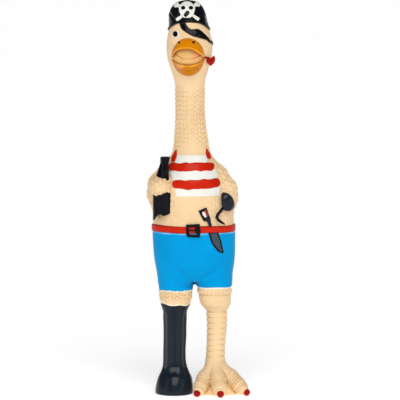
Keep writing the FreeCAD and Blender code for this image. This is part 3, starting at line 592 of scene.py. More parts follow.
def trim(made, height, keep_above):
    """Cuts a mesh level at a height and closes it there with a flat, sharp-edged face."""
    bm = bmesh.new()
    bm.from_mesh(made.data)
    at = Vector((0, 0, height / 1000))
    bmesh.ops.bisect_plane(
        bm, geom=bm.verts[:] + bm.edges[:] + bm.faces[:], dist=1e-7, plane_co=at, plane_no=(0, 0, 1),
        clear_outer=not keep_above, clear_inner=keep_above,
    )
    rim = [e for e in bm.edges if len(e.link_faces) == 1]
    lid = bmesh.ops.bridge_loops(bm, edges=rim)
    for item in lid["faces"]:
        item.smooth = False
    for edge in rim:
        edge.smooth = False
    bmesh.ops.recalc_face_normals(bm, faces=bm.faces[:])
    bm.to_mesh(made.data)
    bm.free()
    return made


def solid(name, field, lo, hi, step, material, cuts=(), rim=None, line=None):
    """A closed mesh of a field inside a box, cut level at some heights, as (height, keep_above)."""
    points, quads = surface(field, lo, hi, step * FINE)
    # the points carry painted shade as hollow and painted highlight as pale, for the paint to mix in
    shares = {"hollow": painted_shade_share(field, points, rim), "pale": painted_highlight_share(points, line)}
    made = add(name, points, quads, material, shares)
    for height, keep_above in cuts:
        trim(made, height, keep_above)
    return made


def shell(field):
    """The skin of a field: everything within the wall's depth of its surface."""

    def inner(x, y, z):
        d = field(x, y, z)
        return np.maximum(d, -(d + WALL))

    return inner


def relief(base, outline, height, depth, round_by):
    """A plate on a surface: it stands out by height, goes in by depth, and has rounded edges."""

    def inner(x, y, z):
        d = base(x, y, z)
        side = outline(x, y, z)
        top = smax(d - height, side, round_by)
        return np.maximum(top, -(d + depth))

    return inner


# ---------------- materials


def srgb(r, g, b):
    return [((c / 255 + 0.055) / 1.055) ** 2.4 if c > 10 else c / 255 / 12.92 for c in (r, g, b)]


def make_node(tree, kind, **values):
    made = tree.nodes.new(kind)
    for key, value in values.items():
        if key in made.inputs:
            made.inputs[key].default_value = value
        else:
            setattr(made, key, value)
    return made


def blend_colours(tree, share, first, second):
    """Mixes two colours; each is a socket or a colour."""
    mix = make_node(tree, "ShaderNodeMix", data_type="RGBA")
    tree.links.new(share, mix.inputs[0])
    for socket, colour in ((mix.inputs[6], first), (mix.inputs[7], second)):
        if isinstance(colour, (list, tuple)):
            socket.default_value = (*colour, 1)
        else:
            tree.links.new(colour, socket)
    return mix.outputs[2]


def noise(tree, where, scale, detail):
    made = make_node(tree, "ShaderNodeTexNoise", Scale=scale, Detail=detail)
    tree.links.new(where, made.inputs["Vector"])
    return made.outputs["Fac"]


def carried(tree, value, before, after):
    """A value carried from one range, (low, high), into another."""
    made = make_node(tree, "ShaderNodeMapRange")
    for end, number in zip(("From Min", "From Max", "To Min", "To Max"), (*before, *after)):
        made.inputs[end].default_value = number
    tree.links.new(value, made.inputs["Value"])
    return made.outputs["Result"]


def point_share(tree, name):
    """A number that the mesh holds at each of its points."""
    return make_node(tree, "ShaderNodeAttribute", attribute_name=name).outputs["Fac"]


def smudged(tree, where, tone, x, y, z, size, smudge):
    """A colour with a soft round smudge at a place on the bird."""
    gap = make_node(tree, "ShaderNodeVectorMath", operation="DISTANCE")
    gap.inputs[1].default_value = in_frame(x, y, z)
    tree.links.new(where, gap.inputs[0])
    near = carried(tree, gap.outputs["Value"], (size / 3000, size / 1000), (0.75, 0.0))
    return blend_colours(tree, near, tone, srgb(*smudge))


def paint_colour(tree, where, colour, shade_and_drift_colour, mottle, scale, spots, pale):
    """A colour that drifts, with smudges at some spots; painted shade makes it deeper in hollows, grooves and
    joins, and a painted highlight makes it pale along lines.
    """
    colour = srgb(*colour)
    shade_and_drift_colour = srgb(*shade_and_drift_colour)
    low = [c * (1 - mottle) * (1 - mottle) + d * mottle for c, d in zip(colour, shade_and_drift_colour)]
    high = [min(c * (1 + mottle / 2), 1) for c in colour]
    drift = carried(tree, noise(tree, where, scale / 6, 4), (0.35, 0.7), (0.0, 1.0))
    tone = blend_colours(tree, drift, low, high)
    for spot in spots:
        tone = smudged(tree, where, tone, *spot)
    # painted shade: darker in hollows and along grooves and joins
    tone = blend_colours(tree, point_share(tree, "hollow"), tone, shade_and_drift_colour)
    # painted highlight along pale lines
    if pale:
        tone = blend_colours(tree, point_share(tree, "pale"), tone, srgb(*pale))
    return tone


def paint(name, colour, shade_and_drift_colour, rough=0.35, shine=0.12, coat=0.08, ior=1.45, mottle=0.05, grain=0.15,
          scale=300.0, spots=(), pale=None):
    """A latex or a paint on it: colour from 0 to 255, a painted shade colour for hollows (also the dark end
    of the drift), an optional painted highlight colour, and an uneven, grained gloss.
    """
    made = bpy.data.materials.new(name)
    made.use_nodes = True
    tree = made.node_tree
    shader = tree.nodes["Principled BSDF"]
    settings = {"Coat Weight": coat, "Coat Roughness": 0.1, "Specular IOR Level": shine, "IOR": ior}
    for setting, number in settings.items():
        shader.inputs[setting].default_value = number
    where = make_node(tree, "ShaderNodeTexCoord").outputs["Object"]
    tone = paint_colour(tree, where, colour, shade_and_drift_colour, mottle, scale, spots, pale)
    tree.links.new(tone, shader.inputs["Base Color"])
    fine = noise(tree, where, scale, 3)
    gloss = carried(tree, fine, (0.0, 1.0), (max(rough - 0.06, 0.05), min(rough + 0.08, 1)))
    tree.links.new(gloss, shader.inputs["Roughness"])
    bump = make_node(tree, "ShaderNodeBump", Strength=grain, Distance=0.0004)
    tree.links.new(fine, bump.inputs["Height"])
    tree.links.new(bump.outputs["Normal"], shader.inputs["Normal"])
    return made


# each paint's second colour is its painted shade in hollows, grooves and joins; pale is a painted highlight:
# on the skin under the hems and over the boot, on the blue under the belt, on the beak along the lips
SKIN = paint("skin", (242, 209, 163), (186, 138, 88), rough=0.45, grain=0.25, scale=260, pale=(255, 252, 240))
# the blue's pale is the painted highlight under the belt
BLUE = paint("blue", (0, 154, 218), (0, 96, 165), rough=0.3, shine=0.04, coat=0.05, ior=1.25, scale=180,
             pale=(150, 205, 235))
RED = paint("red", (204, 36, 8), (112, 8, 4), shine=0.08, scale=260, mottle=0.1)
NAIL = paint("nail", (172, 18, 4), (84, 6, 3), rough=0.25, shine=0.1, scale=260, mottle=0.15)
WHITE = paint("white", (236, 236, 228), (200, 184, 158), rough=0.45, scale=260)
BLACK = paint("black", (9, 11, 14), (3, 4, 6), rough=0.22, shine=0.5, coat=0.05, ior=1.2, mottle=0.2,
              scale=220)
SOFT = {"shine": 0.2, "mottle": 0.15, "scale": 160}
BOTTLE_BLACK = paint("bottle_black", (11, 13, 19), (4, 5, 8), rough=0.24, coat=0.12, ior=1.2, **SOFT)
# the boot's blue-grey is lighter than its black latex: it stands for painted sheen on the ridges, between
# painted shade in the grooves
BOOT_BLACK_WITH_PAINTED_SHEEN = paint("boot_black_painted_sheen", (24, 35, 46), (6, 9, 14), rough=0.28, coat=0.2, ior=1.3, **SOFT)
CUP_BLACK = paint("cup_black", (18, 27, 37), (7, 10, 16), rough=0.26, coat=0.25, ior=1.3, **SOFT)
GRIP_RED = paint("grip_red", (170, 50, 28), (90, 20, 10))
GREY = paint("grey", (68, 77, 92), (30, 34, 52), mottle=0.12)
# pale is the lips' painted highlight
BEAK = {"rough": 0.28, "shine": 0.1, "mottle": 0.1, "scale": 150, "pale": (250, 182, 52)}
PINK = (240, 160, 115)
BEAK_SMUDGE = (-15.5, -31, 354.5, 7.5, PINK)
LINING_SMUDGE = (4.0, -31.5, 367.0, 7.5, PINK)
ORANGE = paint("orange", (232, 140, 2), (150, 80, 12), **BEAK)
BEAK_LOW = paint("orange_low", (210, 130, 6), (150, 80, 12), spots=[BEAK_SMUDGE], **BEAK)
LINING = paint("lining", (234, 188, 118), (200, 116, 40), scale=160, mottle=0.1, spots=[LINING_SMUDGE])
PLASTIC = paint("plastic", (236, 234, 226), (150, 148, 140), scale=400)

# ---------------- how pieces are settled: baked in place or put on a body, with the CAD nodes they replace hidden


def bend_back(piece):
    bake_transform(piece)


def bend_right_leg(piece):
    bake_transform(piece)


def bend_left_leg(piece):
    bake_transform(piece)


def finish_piece(piece, slot, *nodes):
    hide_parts(*nodes)


def rigid(body, slot, name, field, box, step, material, nodes=None, **lines):
    """A piece that rides on one body, in place of the CAD node of its own name unless others are given."""
    piece = solid(name, field, *box, step, material, **lines)
    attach(piece, body)
    finish_piece(piece, slot, *([name] if nodes is None else nodes))


# ---------------- skin pieces

foot, middle, top, bend_end = NECK_HEIGHTS
skin = shell(torso_skin)
cuts = [(BELT_HEIGHT, True), (foot, False)]
piece = solid("skin_torso", skin, (-56, -42, 176), (56, 44, 266), 0.8, SKIN, cuts)
bend_back(piece)
finish_piece(piece, "skin_latex", "torso_skin", "back_panel", "right_wing", "left_wing")

for name, low, high, a, b, node in (
    ("skin_neck_low", foot, middle, "torso", "neck_lower", "neck_lower"),
    ("skin_neck_high", middle, top, "neck_lower", "neck_upper", "neck_upper"),
):
    cuts = [(low, True), (high, False)]
    piece = solid(name, skin, (-28, -24, low - 5), (24, 24, high + 5), 0.8, SKIN, cuts)
    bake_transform(piece)
    finish_piece(piece, "skin_latex", node)

piece = solid("skin_head", skin, (-34, -32, 314), (26, 30, 428), 0.8, SKIN, [(top, True)])
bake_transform(piece)
finish_piece(piece, "skin_latex", "head_skin")


def hem_height(x, y):
    """The uneven hem of the shorts, higher on the left leg."""
    return np.where(x < 2, 113.2, 117.0) + 0.35 * np.sin(np.arctan2(y, x - 2) * 9 + 1)


def shorts_field(x, y, z):
    """The hollow shorts, with the hole that the squeaker sits in."""
    d = hips(x, y, z)
    hem = hem_height(x, y)
    d = smax(d, hem - z, 1.2)
    room = smax(TRUNK(x, y, z) + WALL, 125.5 - z, 2)
    inside = smin(room, smin(RIGHT_LEG(x, y, z), LEFT_LEG(x, y, z), 0.5) + WALL, 2)
    hole = np.maximum(np.sqrt((x - SQUEAKER_X) ** 2 + (z - SQUEAKER_Z) ** 2) - 11.7, 20 - y)
    return smax(np.maximum(d, -inside), -hole, 1.4)


def belt_edge_highlight(x, y, z):
    """A painted highlight along the blue paint's top edge, where it meets the belt."""
    return np.abs(z - 176.5) + 0.3 * (1 + np.sin(x * 0.35 + 2))


cuts = [(BELT_HEIGHT, False)]
piece = solid("shorts", shorts_field, (-50, -38, 104), (52, 44, 186), 0.8, BLUE, cuts, line=belt_edge_highlight)
bend_back(piece)
finish_piece(piece, "blue_latex", "shorts", "seat_panel")


def boot_top(x, y):
    """The height of the boot's wavy top edge."""
    angle = np.arctan2(x + 18.9, -(y - 1))
    return 98.2 - 1.2 * np.cos(angle) - 0.9 * np.sin(angle) + 0.5 * np.sin(angle * 5)


def thigh_field(x, y, z):
    """The hollow thigh, down to the boot's top."""
    return np.maximum(shell(right_leg_skin)(x, y, z), boot_top(x, y) - z)


def thigh_highlight_lines(x, y, z):
    """Painted highlight lines on the skin under the hem and over the boot."""
    uneven = 0.3 * (1 + np.sin(x * 0.8))
    return np.minimum(np.abs(z - hem_height(x, y) + 0.4), np.abs(z - boot_top(x, y) - 0.7)) + uneven


box = ((-42, -24, 90), (4, 26, 122))
piece = solid("skin_right_thigh", thigh_field, *box, 0.8, SKIN, [(119, False)], line=thigh_highlight_lines)
bend_right_leg(piece)
finish_piece(piece, "skin_latex", "right_thigh")


def boot_field(x, y, z):
    """The hollow boot, with soft ridges round its leg."""
    base = RIGHT_LEG(x, y, z) - 0.3
    angle = np.arctan2(x + 20, -(y - 1))
    ridges = -0.6 * np.cos(angle * 6) * step01((z - 20) / 8) * step01((92 - z) / 8)
    d = smax(base - ridges, z - boot_top(x, y), 1.2)
    d = smax(d, 0.05 - z, 1.6)
    hollow = np.maximum(RIGHT_LEG(x, y, z) + WALL, 2.4 - z)
    return np.maximum(d, -hollow)


def boot_groove_shade(x, y, z):
    """Painted shade in the grooves between the boot's ridges, fading towards the ground; between the grooves
    the boot's lighter tone is painted sheen.
    """
    angle = np.arctan2(x + 20, -(y - 1))
    return 0.5 + 0.9 * (1 + np.cos(angle * 6 + math.pi)) + 2 * step01((12 - z) / 8)


piece = solid("boot", boot_field, (-44, -26, -3), (4, 24, 104), 0.8, BOOT_BLACK_WITH_PAINTED_SHEEN, rim=boot_groove_shade)
bend_right_leg(piece)
finish_piece(piece, "black_latex", "boot")


def leg_highlight_line(x, y, z):
    """A painted highlight line on the skin under the hem."""
    return z - hem_height(x, y) + 0.4


box = ((-4, -42, -3), (66, 26, 124))
piece = solid("skin_left_leg", shell(left_leg_skin), *box, 0.75, SKIN, [(121, False)], line=leg_highlight_line)
bend_left_leg(piece)
finish_piece(piece, "skin_latex", "left_thigh", "shank", "foot", "inner_toe", "middle_toe", "outer_toe")

for name, points, node in (
    ("nail_inner", INNER_TOE, "inner_toe_nail"),
    ("nail_middle", MIDDLE_TOE, "middle_toe_nail"),
    ("nail_outer", OUTER_TOE, "outer_toe_nail"),
):
    (x0, y0, _, _), (x1, y1, _, _) = points[-2:]
    reach = math.dist((x0, y0), (x1, y1))
    nx, ny = x1 + (x1 - x0) / reach * 4.6, y1 + (y1 - y0) / reach * 4.6
    turn = math.degrees(math.atan2(x1 - x0, -(y1 - y0)))

    def nail(x, y, z, nx=nx, ny=ny, turn=turn):
        d = egg(x, y, z, (nx, ny, 4.1), (3.9, 3.6, 3.8), turn, "z")
        dent = ball(x, y, z, (nx, ny - 4.5, 4.8), 2.0)
        return smax(smax(d, -dent, 0.9), 0.15 - z, 0.6)

    box = ((nx - 6, ny - 6, -2), (nx + 6, ny + 6, 10))
    rigid("foot_leg", "nail_red_latex", name, nail, box, 0.45, NAIL, [node])

# ---------------- belt and buckle

BELT_HALF = 3.75


def belt_field(x, y, z):
    d = TRUNK(x, y, z)
    sag = 0.35 * np.sin(np.arctan2(y, x) * 4)
    side = np.abs(z - BELT_HEIGHT - sag) - BELT_HALF
    swell = 0.25 * np.cos(np.clip((z - BELT_HEIGHT) / BELT_HALF, -1, 1) * math.pi / 2)
    return np.maximum(smax(d - 1.45 - swell, side, 1.0), -(d - 0.2))


def belt_edge_shade(x, y, z):
    """Painted shade along the belt's two edges."""
    return np.abs(z - BELT_HEIGHT) - 3.9


piece = solid("belt", belt_field, (-48, -36, 173), (50, 40, 189), 0.6, RED, rim=belt_edge_shade)
bend_back(piece)
finish_piece(piece, "red_latex", "belt", "belt_back")

BUCKLE = [(-7.3, 186.6), (7, 187.4), (8, 180.5), (7.2, 173.4), (-5.6, 173.8), (-7, 176.5)]


def buckle_ring(x, y, z):
    side = polygon(x, z, BUCKLE) - 0.3
    return np.maximum(side, -(side + 3.1))


def prong_outline(x, y, z):
    bar = flat_limb(x, z, [(-3.6, 181.0, 0.9), (4.6, 180.4, 1.1)])
    lump = flat_limb(x, z, [(3.4, 182.9, 1.4), (4.2, 178.6, 1.5)])
    return smin(bar, lump, 0.8)


# both stand clear of the trunk, on the belt, so their depth into it is below zero
for name, outline, height, depth, rounding, box, step in (
    ("belt_buckle", buckle_ring, 3.2, -0.9, 1.2, ((-12, -42, 169), (13, -26, 192)), 0.5),
    ("buckle_prong", prong_outline, 2.7, -1.2, 0.9, ((-8, -42, 172), (9, -26, 188)), 0.45),
):
    rigid("torso", "black_latex", name, relief(TRUNK, outline, height, depth, rounding), box, step, BLACK)

# ---------------- shirt, stripes and collar


def front_only(outline):
    """An outline that only counts on the front of the bird."""

    def inner(x, y, z):
        return np.maximum(outline(x, y, z), y - 2)

    return inner


def shirt_outline(x, y, z):
    """The shirt's three white bands."""
    top = polygon(x, z, [(-17.6, 260.4), (14.0, 260.2), (15.5, 251.5), (-19.5, 251.5)])
    middle = polygon(x, z, [(-26.0, 245.0), (25.4, 245.0), (26.4, 233.5), (-21.5, 233.0)])
    low = polygon(x, z, [(-19.8, 226.5), (29.4, 227.0), (28.6, 217.2), (-18.0, 217.0)])
    return np.minimum(np.minimum(top, middle), low) - 0.2


shirt = relief(TRUNK, front_only(shirt_outline), 0.75, 1.0, 0.7)
rigid("torso", "white_latex", "shirt", shirt, ((-34, -38, 212), (36, 4, 266)), 0.6, WHITE)

UPPER_STRIPE = [(-22.6, 247.6, 4.1), (-8, 248.1, 4.3), (8, 248.3, 4.2), (19, 248.2, 4.2)]
LOWER_STRIPE = [(-17.9, 229.8, 4.5), (-4, 229.4, 4.8), (12, 229.9, 4.8), (24.6, 231, 4.9)]


for name, route, wave, swing, box in (
    ("red_stripe_upper", UPPER_STRIPE, (0.55, 0), (0.23, 1), ((-32, -36, 240), (28, 4, 256))),
    ("red_stripe_lower", LOWER_STRIPE, (0.5, 2), (0.21, 0), ((-28, -38, 221), (34, 4, 240))),
):

    def outline(x, y, z, route=route, wave=wave, swing=swing):
        rise = 0.25 * np.sin(x * wave[0] + wave[1]) + 0.2 * np.sin(x * swing[0] + swing[1])
        return flat_limb(x, z - rise, route, 2)

    stripe = relief(TRUNK, front_only(outline), 1.9, 1.0, 1.6)
    # rim=TRUNK paints shade where the stripe meets the trunk
    rigid("torso", "red_latex", name, stripe, box, 0.55, RED, rim=TRUNK)

for name, ends in (
    ("collar_drop_right", [(-17.8, -9.5, 265.4, 1), (-20.1, -12.3, 258, 3.6), (-20.5, -12.8, 255.8, 3.6)]),
    ("collar_drop_left", [(14.4, -9.5, 266.4, 1), (16.4, -11, 260.4, 3.2), (16.9, -11.3, 258.6, 3.2)]),
):

    def tear(x, y, z, ends=ends):
        return limb(x, y, z, ends, 1.5)[0]

    x0 = ends[1][0]
    drop = relief(TRUNK, tear, 1.7, 1.0, 1.2)
    # rim=TRUNK paints shade where the drop meets the trunk
    piece = solid(name, drop, (x0 - 9, -20, 248), (x0 + 9, 0, 270), 0.45, RED, rim=TRUNK)
    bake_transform(piece)
    finish_piece(piece, "red_latex", name)

# ---------------- bottle, hook and dagger

BOTTLE = Loft([
    (186, -32.9, -21, 9.7, 9.2),
    (200, -32.8, -21.2, 9.9, 9.4),
    (215, -32.8, -21.4, 9.9, 9.4),
    (228, -32.8, -21.4, 9, 8.8),
    (237, -32.6, -21.2, 6.9, 6.8),
    (246, -31.4, -20.8, 5.4, 5.2),
    (254, -30.2, -20.4, 4.6, 4.5),
    (256, -29.9, -20.4, 5, 4.9),
    (262, -29.8, -20.4, 5, 4.9),
])
BOTTLE_FOOT = curve(
    [-46, -41.2, -38.6, -36, -31, -27.5, -23.5, -20],
    [190, 191.2, 195.6, 197.2, 195.8, 196.8, 198.2, 199],
)


def bottle_field(x, y, z):
    d = BOTTLE(x, y, z)
    seam = 0.3 * np.cos(np.arctan2(x + 32.8, -(y + 21)) * 5)
    return smax(smax(d - seam, z - 259.0, 1.6), np.interp(x, *BOTTLE_FOOT) - z, 1.6)


rigid("torso", "black_latex", "bottle", bottle_field, ((-48, -40, 186), (-20, -8, 264)), 0.6, BOTTLE_BLACK)

CUP = [(30.2, 220.2), (37.2, 219.2), (42, 214.6), (44.6, 207.6)]
CUP += [(43, 202), (38, 200.4), (33.4, 202), (31.6, 204.2)]


def cup_field(x, y, z):
    """The hook's cup, swelling from the wing's end, with a raised rim."""
    side = polygon(x, z, softened(CUP)) - 0.7
    swell = 4.6 * np.sqrt(np.clip(1 - ((x - 38) / 9) ** 2 - ((z - 210) / 12) ** 2, 0, 1))
    rim = 0.7 * bell((x - 31.0 - (219.8 - z) * 0.1) / 1.1)
    base = smin(TRUNK(x, y, z), wings(x, y, z), 5)
    top = smax(smax(base - 1.4 - swell - rim, side, 1.6), y + 10.5, 1.5)
    return np.maximum(top, -(base + 0.8))


rigid("torso", "black_latex", "hook_cup", cup_field, ((24, -38, 196), (52, 2, 226)), 0.5, CUP_BLACK)

HOOK = [(32.4, -24.4, 204.6, 1.5), (29.4, -27.6, 200.6, 1.5), (26.6, -30, 197.6, 1.5)]
HOOK += [(25.6, -30.6, 194.6, 1.5), (27.4, -31, 191.6, 1.45), (30.6, -30.6, 189.2, 1.3)]
HOOK += [(33.6, -29.6, 187.2, 0.9)]


def hook_field(x, y, z):
    return limb(x, y, z, HOOK, 0.8)[0]


rigid("torso", "black_latex", "hook", hook_field, ((21, -36, 182), (38, -18, 210)), 0.4, BLACK)

GRIP = [(6.5, 201.4), (14.2, 204.6), (16.9, 196.6), (14.6, 190.6), (11.8, 191)]
WHITE_INLAY = [(9.6, 200.2), (12.2, 201), (15.2, 194.6), (13.4, 193.6), (10.2, 197.6)]
RED_INLAY = [(12.6, 202.6), (15.3, 203.4), (16.9, 197), (14.6, 196.2)]
BLADE = [(17.2, 178.2), (26.2, 178.2), (29.6, 168), (32.2, 156), (28, 157.4), (21.2, 166)]


def inlay(corners):
    """One of the grip's inlays, which stops short of the grip's edge."""

    def inner(x, y, z):
        return np.maximum(polygon(x, z, corners), polygon(x, z, GRIP) + 0.5)

    return inner


white_inlay = inlay(WHITE_INLAY)
red_inlay = inlay(RED_INLAY)


def grip_outline(x, y, z):
    """The grip, with a hole for both inlays."""
    hole = smin(white_inlay(x, y, z), red_inlay(x, y, z), 1.2) - 0.2
    return np.maximum(polygon(x, z, GRIP) - 0.5, -hole)


def blade_outline(x, y, z):
    return polygon(x, z, BLADE)


def bolster(x, y, z):
    """The lump and the short stem between the grip and the belt."""
    lump = flat_limb(x, z, [(13.8, 192.8, 1.6), (16.4, 193.6, 2.0), (17.4, 190.6, 1.9)], 1)
    stem = flat_limb(x, z, [(17.0, 190.5, 2.0), (18.6, 186.2, 1.7)], 1)
    return np.minimum(lump, stem)


for name, outline, height, rounding, box, colour, slot in (
    ("dagger_grip", grip_outline, 1.9, 0.8, ((2, -38, 186), (22, -24, 208)), BLACK, "black_latex"),
    ("dagger_inlay_white", white_inlay, 1.5, 0.7, ((6, -38, 190), (18, -24, 204)), WHITE, "white_latex"),
    ("dagger_inlay_red", red_inlay, 1.7, 0.7, ((9, -38, 192), (20, -24, 206)), GRIP_RED, "grip_red_latex"),
    ("dagger_bolster", bolster, 2.4, 0.9, ((9, -38, 181), (24, -22, 198)), CUP_BLACK, "black_latex"),
):
    rigid("torso", slot, name, relief(TRUNK, outline, height, 0.8, rounding), box, 0.4, colour)


def blade(grow, height, rounding):
    """The blade, or the black paint round it, below the belt."""

    def outline(x, y, z):
        return np.maximum(blade_outline(x, y, z) - grow, z - 178)

    return relief(hips, outline, height, 0.8, rounding)


box = ((12, -38, 151), (37, -14, 182))
rigid("torso", "black_latex", "dagger_blade_edge", blade(0.9, 0.9, 0.6), box, 0.45, BLACK, [])
rigid("torso", "grey_latex", "dagger_blade", blade(-0.7, 1.5, 0.8), box, 0.45, GREY)

# ---------------- head

HAT_EDGE = curve(
    [-34, -26.7, -23.5, -18.6, -13.7, -10.9, -2.7, 7.6, 13, 16.6, 26],
    [393.0, 394.1, 397.0, 400.4, 401.6, 401.8, 402.3, 401.0, 398.4, 395.2, 393.0],
)


def hat_edge(x, y, z):
    """How far below the hat's edge: the front is arched, the back is level."""
    front = np.interp(x, *HAT_EDGE)
    share = step01((y + 6) / 12)
    return front * (1 - share) + 392.6 * share - z


HAT = Loft([
    (386, -4.2, -0.9, 23.6, 24),
    (394.7, -4.3, -0.8, 22.6, 22.9),
    (405.5, -5.4, -0.5, 20.7, 20.9),
    (411, -5.9, -0.3, 19.7, 19.9),
    (416.3, -6.2, -0.2, 18, 18.2),
    (420, -6.1, -0.1, 15.6, 15.8),
    (422.8, -5.9, 0, 12.3, 12.4),
    (424.9, -5.8, 0, 8.2, 8.2),
    (426.2, -5.8, 0, 2.4, 2.4),
])


def crown(x, y, z):
    """The hat's outer surface, with soft folds in its sides."""
    angle = np.arctan2(x + 5, -y)
    folds = 0.5 * np.sin(angle * 4 + z * 0.2) * step01((z - 395) / 6) * step01((412 - z) / 8)
    creases = 0.45 * np.sin(angle * 9 + z * 0.35) * np.cos(z * 0.55 + angle * 2)
    creases = creases * step01((np.abs(angle) - 0.55) / 0.2)
    folds = folds + creases * step01((z - 397) / 4) * step01((418 - z) / 5)
    return smax(HAT(x, y, z) - folds, z - 426.2, 1.0)


def hat_field(x, y, z):
    """The hat, hollow over the head, with a rolled edge and a groove over it."""
    below = hat_edge(x, y, z)
    rolled = 0.6 * bell((below + 1.6) / 1.3) - 0.5 * bell((below + 4.4) / 0.9)
    top = smax(crown(x, y, z) - rolled, below, 1.5)
    return np.maximum(top, -(TRUNK(x, y, z) + 0.6))


rigid("head", "black_latex", "hat", hat_field, ((-34, -30, 386), (26, 30, 430)), 0.6, BLACK)


def oval(x, z, cx, cz, rx, rz):
    """An ellipse seen from the front, as 1 on its edge."""
    return np.sqrt(((x - cx) / rx) ** 2 + ((z - cz) / rz) ** 2)


def socket_outline(x, y, z):
    """The skull's two eyes and its nose."""
    best = flat_limb(x, z, [(-7.8, 410.2, 1.9), (-5.8, 412.8, 2.1)])
    for cx in (-10.5, -2.1):
        best = np.minimum(best, (oval(x, z, cx, 418.0, 2.3, 1.95) - 1) * 2.0)
    return best


def skull_shape(x, z):
    dome = oval(x, z, -6.4, 416.5, 1.03, 1) - 8.3
    jaw = flat_limb(x, z, [(-8.8, 411.2, 3.6), (-4.0, 411.2, 3.6)], 1)
    return smin(dome, jaw, 2.0)


def skull_outline(x, y, z):
    return np.maximum(skull_shape(x, z), -(socket_outline(x, y, z) - 0.05))


def bones_outline(x, y, z):
    """The ends of two crossed bones, with a gap round the skull."""
    best = None
    for line in (
        [(-17.4, 422.4, 1.9), (-16.2, 420.8, 1.7), (-11, 417, 1.5)],
        [(-18.9, 419.8, 1.6), (-16.2, 420.6, 1.7)],
        [(5.0, 423.2, 1.8), (3.4, 421.6, 1.7), (-1, 418, 1.5)],
        [(6.2, 420.6, 1.6), (3.6, 421.4, 1.6)],
        [(-16.4, 405.8, 1.9), (-14.4, 407.2, 1.5), (-11.0, 410.0, 1.5)],
        [(5.2, 406.2, 1.9), (3.2, 407.6, 1.5), (-0.4, 410.4, 1.5)],
    ):
        d = flat_limb(x, z, line, 0.8)
        best = d if best is None else smin(best, d, 0.8)
    return np.maximum(best, 0.1 - skull_shape(x, z))


for name, outline, height, colour, slot in (
    ("hat_skull", skull_outline, 0.9, WHITE, "white_latex"),
    ("hat_crossbones", bones_outline, 0.8, WHITE, "white_latex"),
    ("skull_sockets", socket_outline, 0.8, BLACK, "black_latex"),
):
    field = relief(crown, front_only(outline), height, 0.8, 0.5)
    rigid("head", slot, name, field, ((-24, -30, 402), (12, 4, 430)), 0.4, colour)


def eye_outline(x, y, z):
    return oval(x, z, -18.5, 389.8, 0.96, 1.04) - 4.0


def pupil_outline(x, y, z):
    return oval(x, z, -18.9, 390.1, 0.92, 1.08) - 3.0


eye = relief(TRUNK, front_only(eye_outline), 0.9, 0.8, 0.8)
rigid("head", "white_latex", "eye_white", eye, ((-26, -30, 383), (-12, 4, 397)), 0.4, WHITE)
pupil = relief(TRUNK, front_only(pupil_outline), 1.3, 0.8, 0.7)
rigid("head", "black_latex", "eye_pupil", pupil, ((-24, -30, 384), (-13, 4, 396)), 0.35, BLACK)

PATCH = [(-8.1, 404), (-8.1, 400.7), (-3.2, 394.9), (1.1, 394.8), (4.9, 395.6), (9.4, 393.2)]
PATCH += [(14.8, 387.6), (17.8, 384.7), (17.8, 382.3), (15.7, 383.7), (6.7, 386.4), (-1.4, 388.6)]
PATCH += [(-6.8, 392), (-12.6, 395.8), (-14.4, 401.8), (-14.4, 404)]


def patch_outline(x, y, z):
    return polygon(x, z, softened(PATCH)) - 0.3


def strap_field(x, y, z):
    """The strap: a slanting band, narrower in front, that comes out under the hat and the patch."""
    d = TRUNK(x, y, z)
    line = 391.4 - 0.554 * x + 1.2 * bell((x - 15) / 5) * (y < 0)
    side = np.abs(z - line) * 0.87 - 1.9 + 0.5 * step01((-y - 2) / 8)
    front = np.where(y < 4, 15.4 - x, -5)
    top = smax(smax(d - 1.15, side, 0.8), front, 0.6)
    under_hat = -(hat_edge(x, y, z) - 0.3)
    return np.maximum(np.maximum(top, -(d + 0.8)), under_hat)


def patch_field(x, y, z):
    pad = 0.9 * bell((x - 5.5) / 4.5) * bell((z - 391) / 3.4)
    skin = TRUNK(x, y, z)
    top = smax(skin - pad - 1.5, front_only(patch_outline)(x, y, z), 1.1)
    return np.maximum(np.maximum(top, -(skin + 0.8)), -(hat_edge(x, y, z) - 0.2))


rigid("head", "black_latex", "eye_patch", patch_field, ((-18, -32, 380), (20, 2, 406)), 0.45, BLACK)
rigid("head", "black_latex", "patch_strap", strap_field, ((-34, -30, 372), (26, 30, 412)), 0.6, BLACK)

UPPER_LIP = curve(
    [-26, -21.9, -18.9, -15, -10.6, -5, -1.4, 3, 6.2, 9.5, 12.2, 16],
    [360, 364.6, 370.4, 373.2, 374.2, 374.3, 373.7, 371.8, 369.4, 366.6, 364.2, 361],
)
LOWER_LIP = curve(
    [-26, -21.6, -18.4, -15.1, -10, -5.6, -1, 3.9, 8, 11.4, 16],
    [366, 362.9, 360.4, 358.7, 357.8, 357.5, 357.9, 359.0, 361.2, 363.4, 366],
)
UPPER_CREASE = [(-17.5, 380.5, 0), (-20.2, 374.5, 0), (-21.4, 368, 0)]
LOWER_FOLD = [(-14, 353, 0), (-5, 350.6, 0), (5, 353.4, 0)]


def above_mouth(x, z):
    """How far below the upper lip's edge; the next is how far above the lower lip's."""
    return np.interp(x, *UPPER_LIP) - z


def below_mouth(x, z):
    return z - np.interp(x, *LOWER_LIP)


def dome_upper(x, y, z):
    return egg(x, y, z, (-5.2, -19.0, 366.6), (17.5, 19.0, 20.2))


def dome_lower(x, y, z):
    return egg(x, y, z, (-5.0, -18.0, 364.8), (17.2, 16.0, 19.6))


def upper_beak_solid(x, y, z):
    """The upper half of the beak, with a rolled lip and a crease down its right side."""
    d = dome_upper(x, y, z)
    lip = 0.55 * bell((above_mouth(x, z) + 1.6) / 1.7)
    crease = 0.5 * bell(flat_limb(x, z, UPPER_CREASE) / 0.8)
    d = smax(smax(d - lip + crease, above_mouth(x, z) * 0.85, 1.8), 362.8 - z, 0.8)
    return np.maximum(d, -(TRUNK(x, y, z) + 0.8))


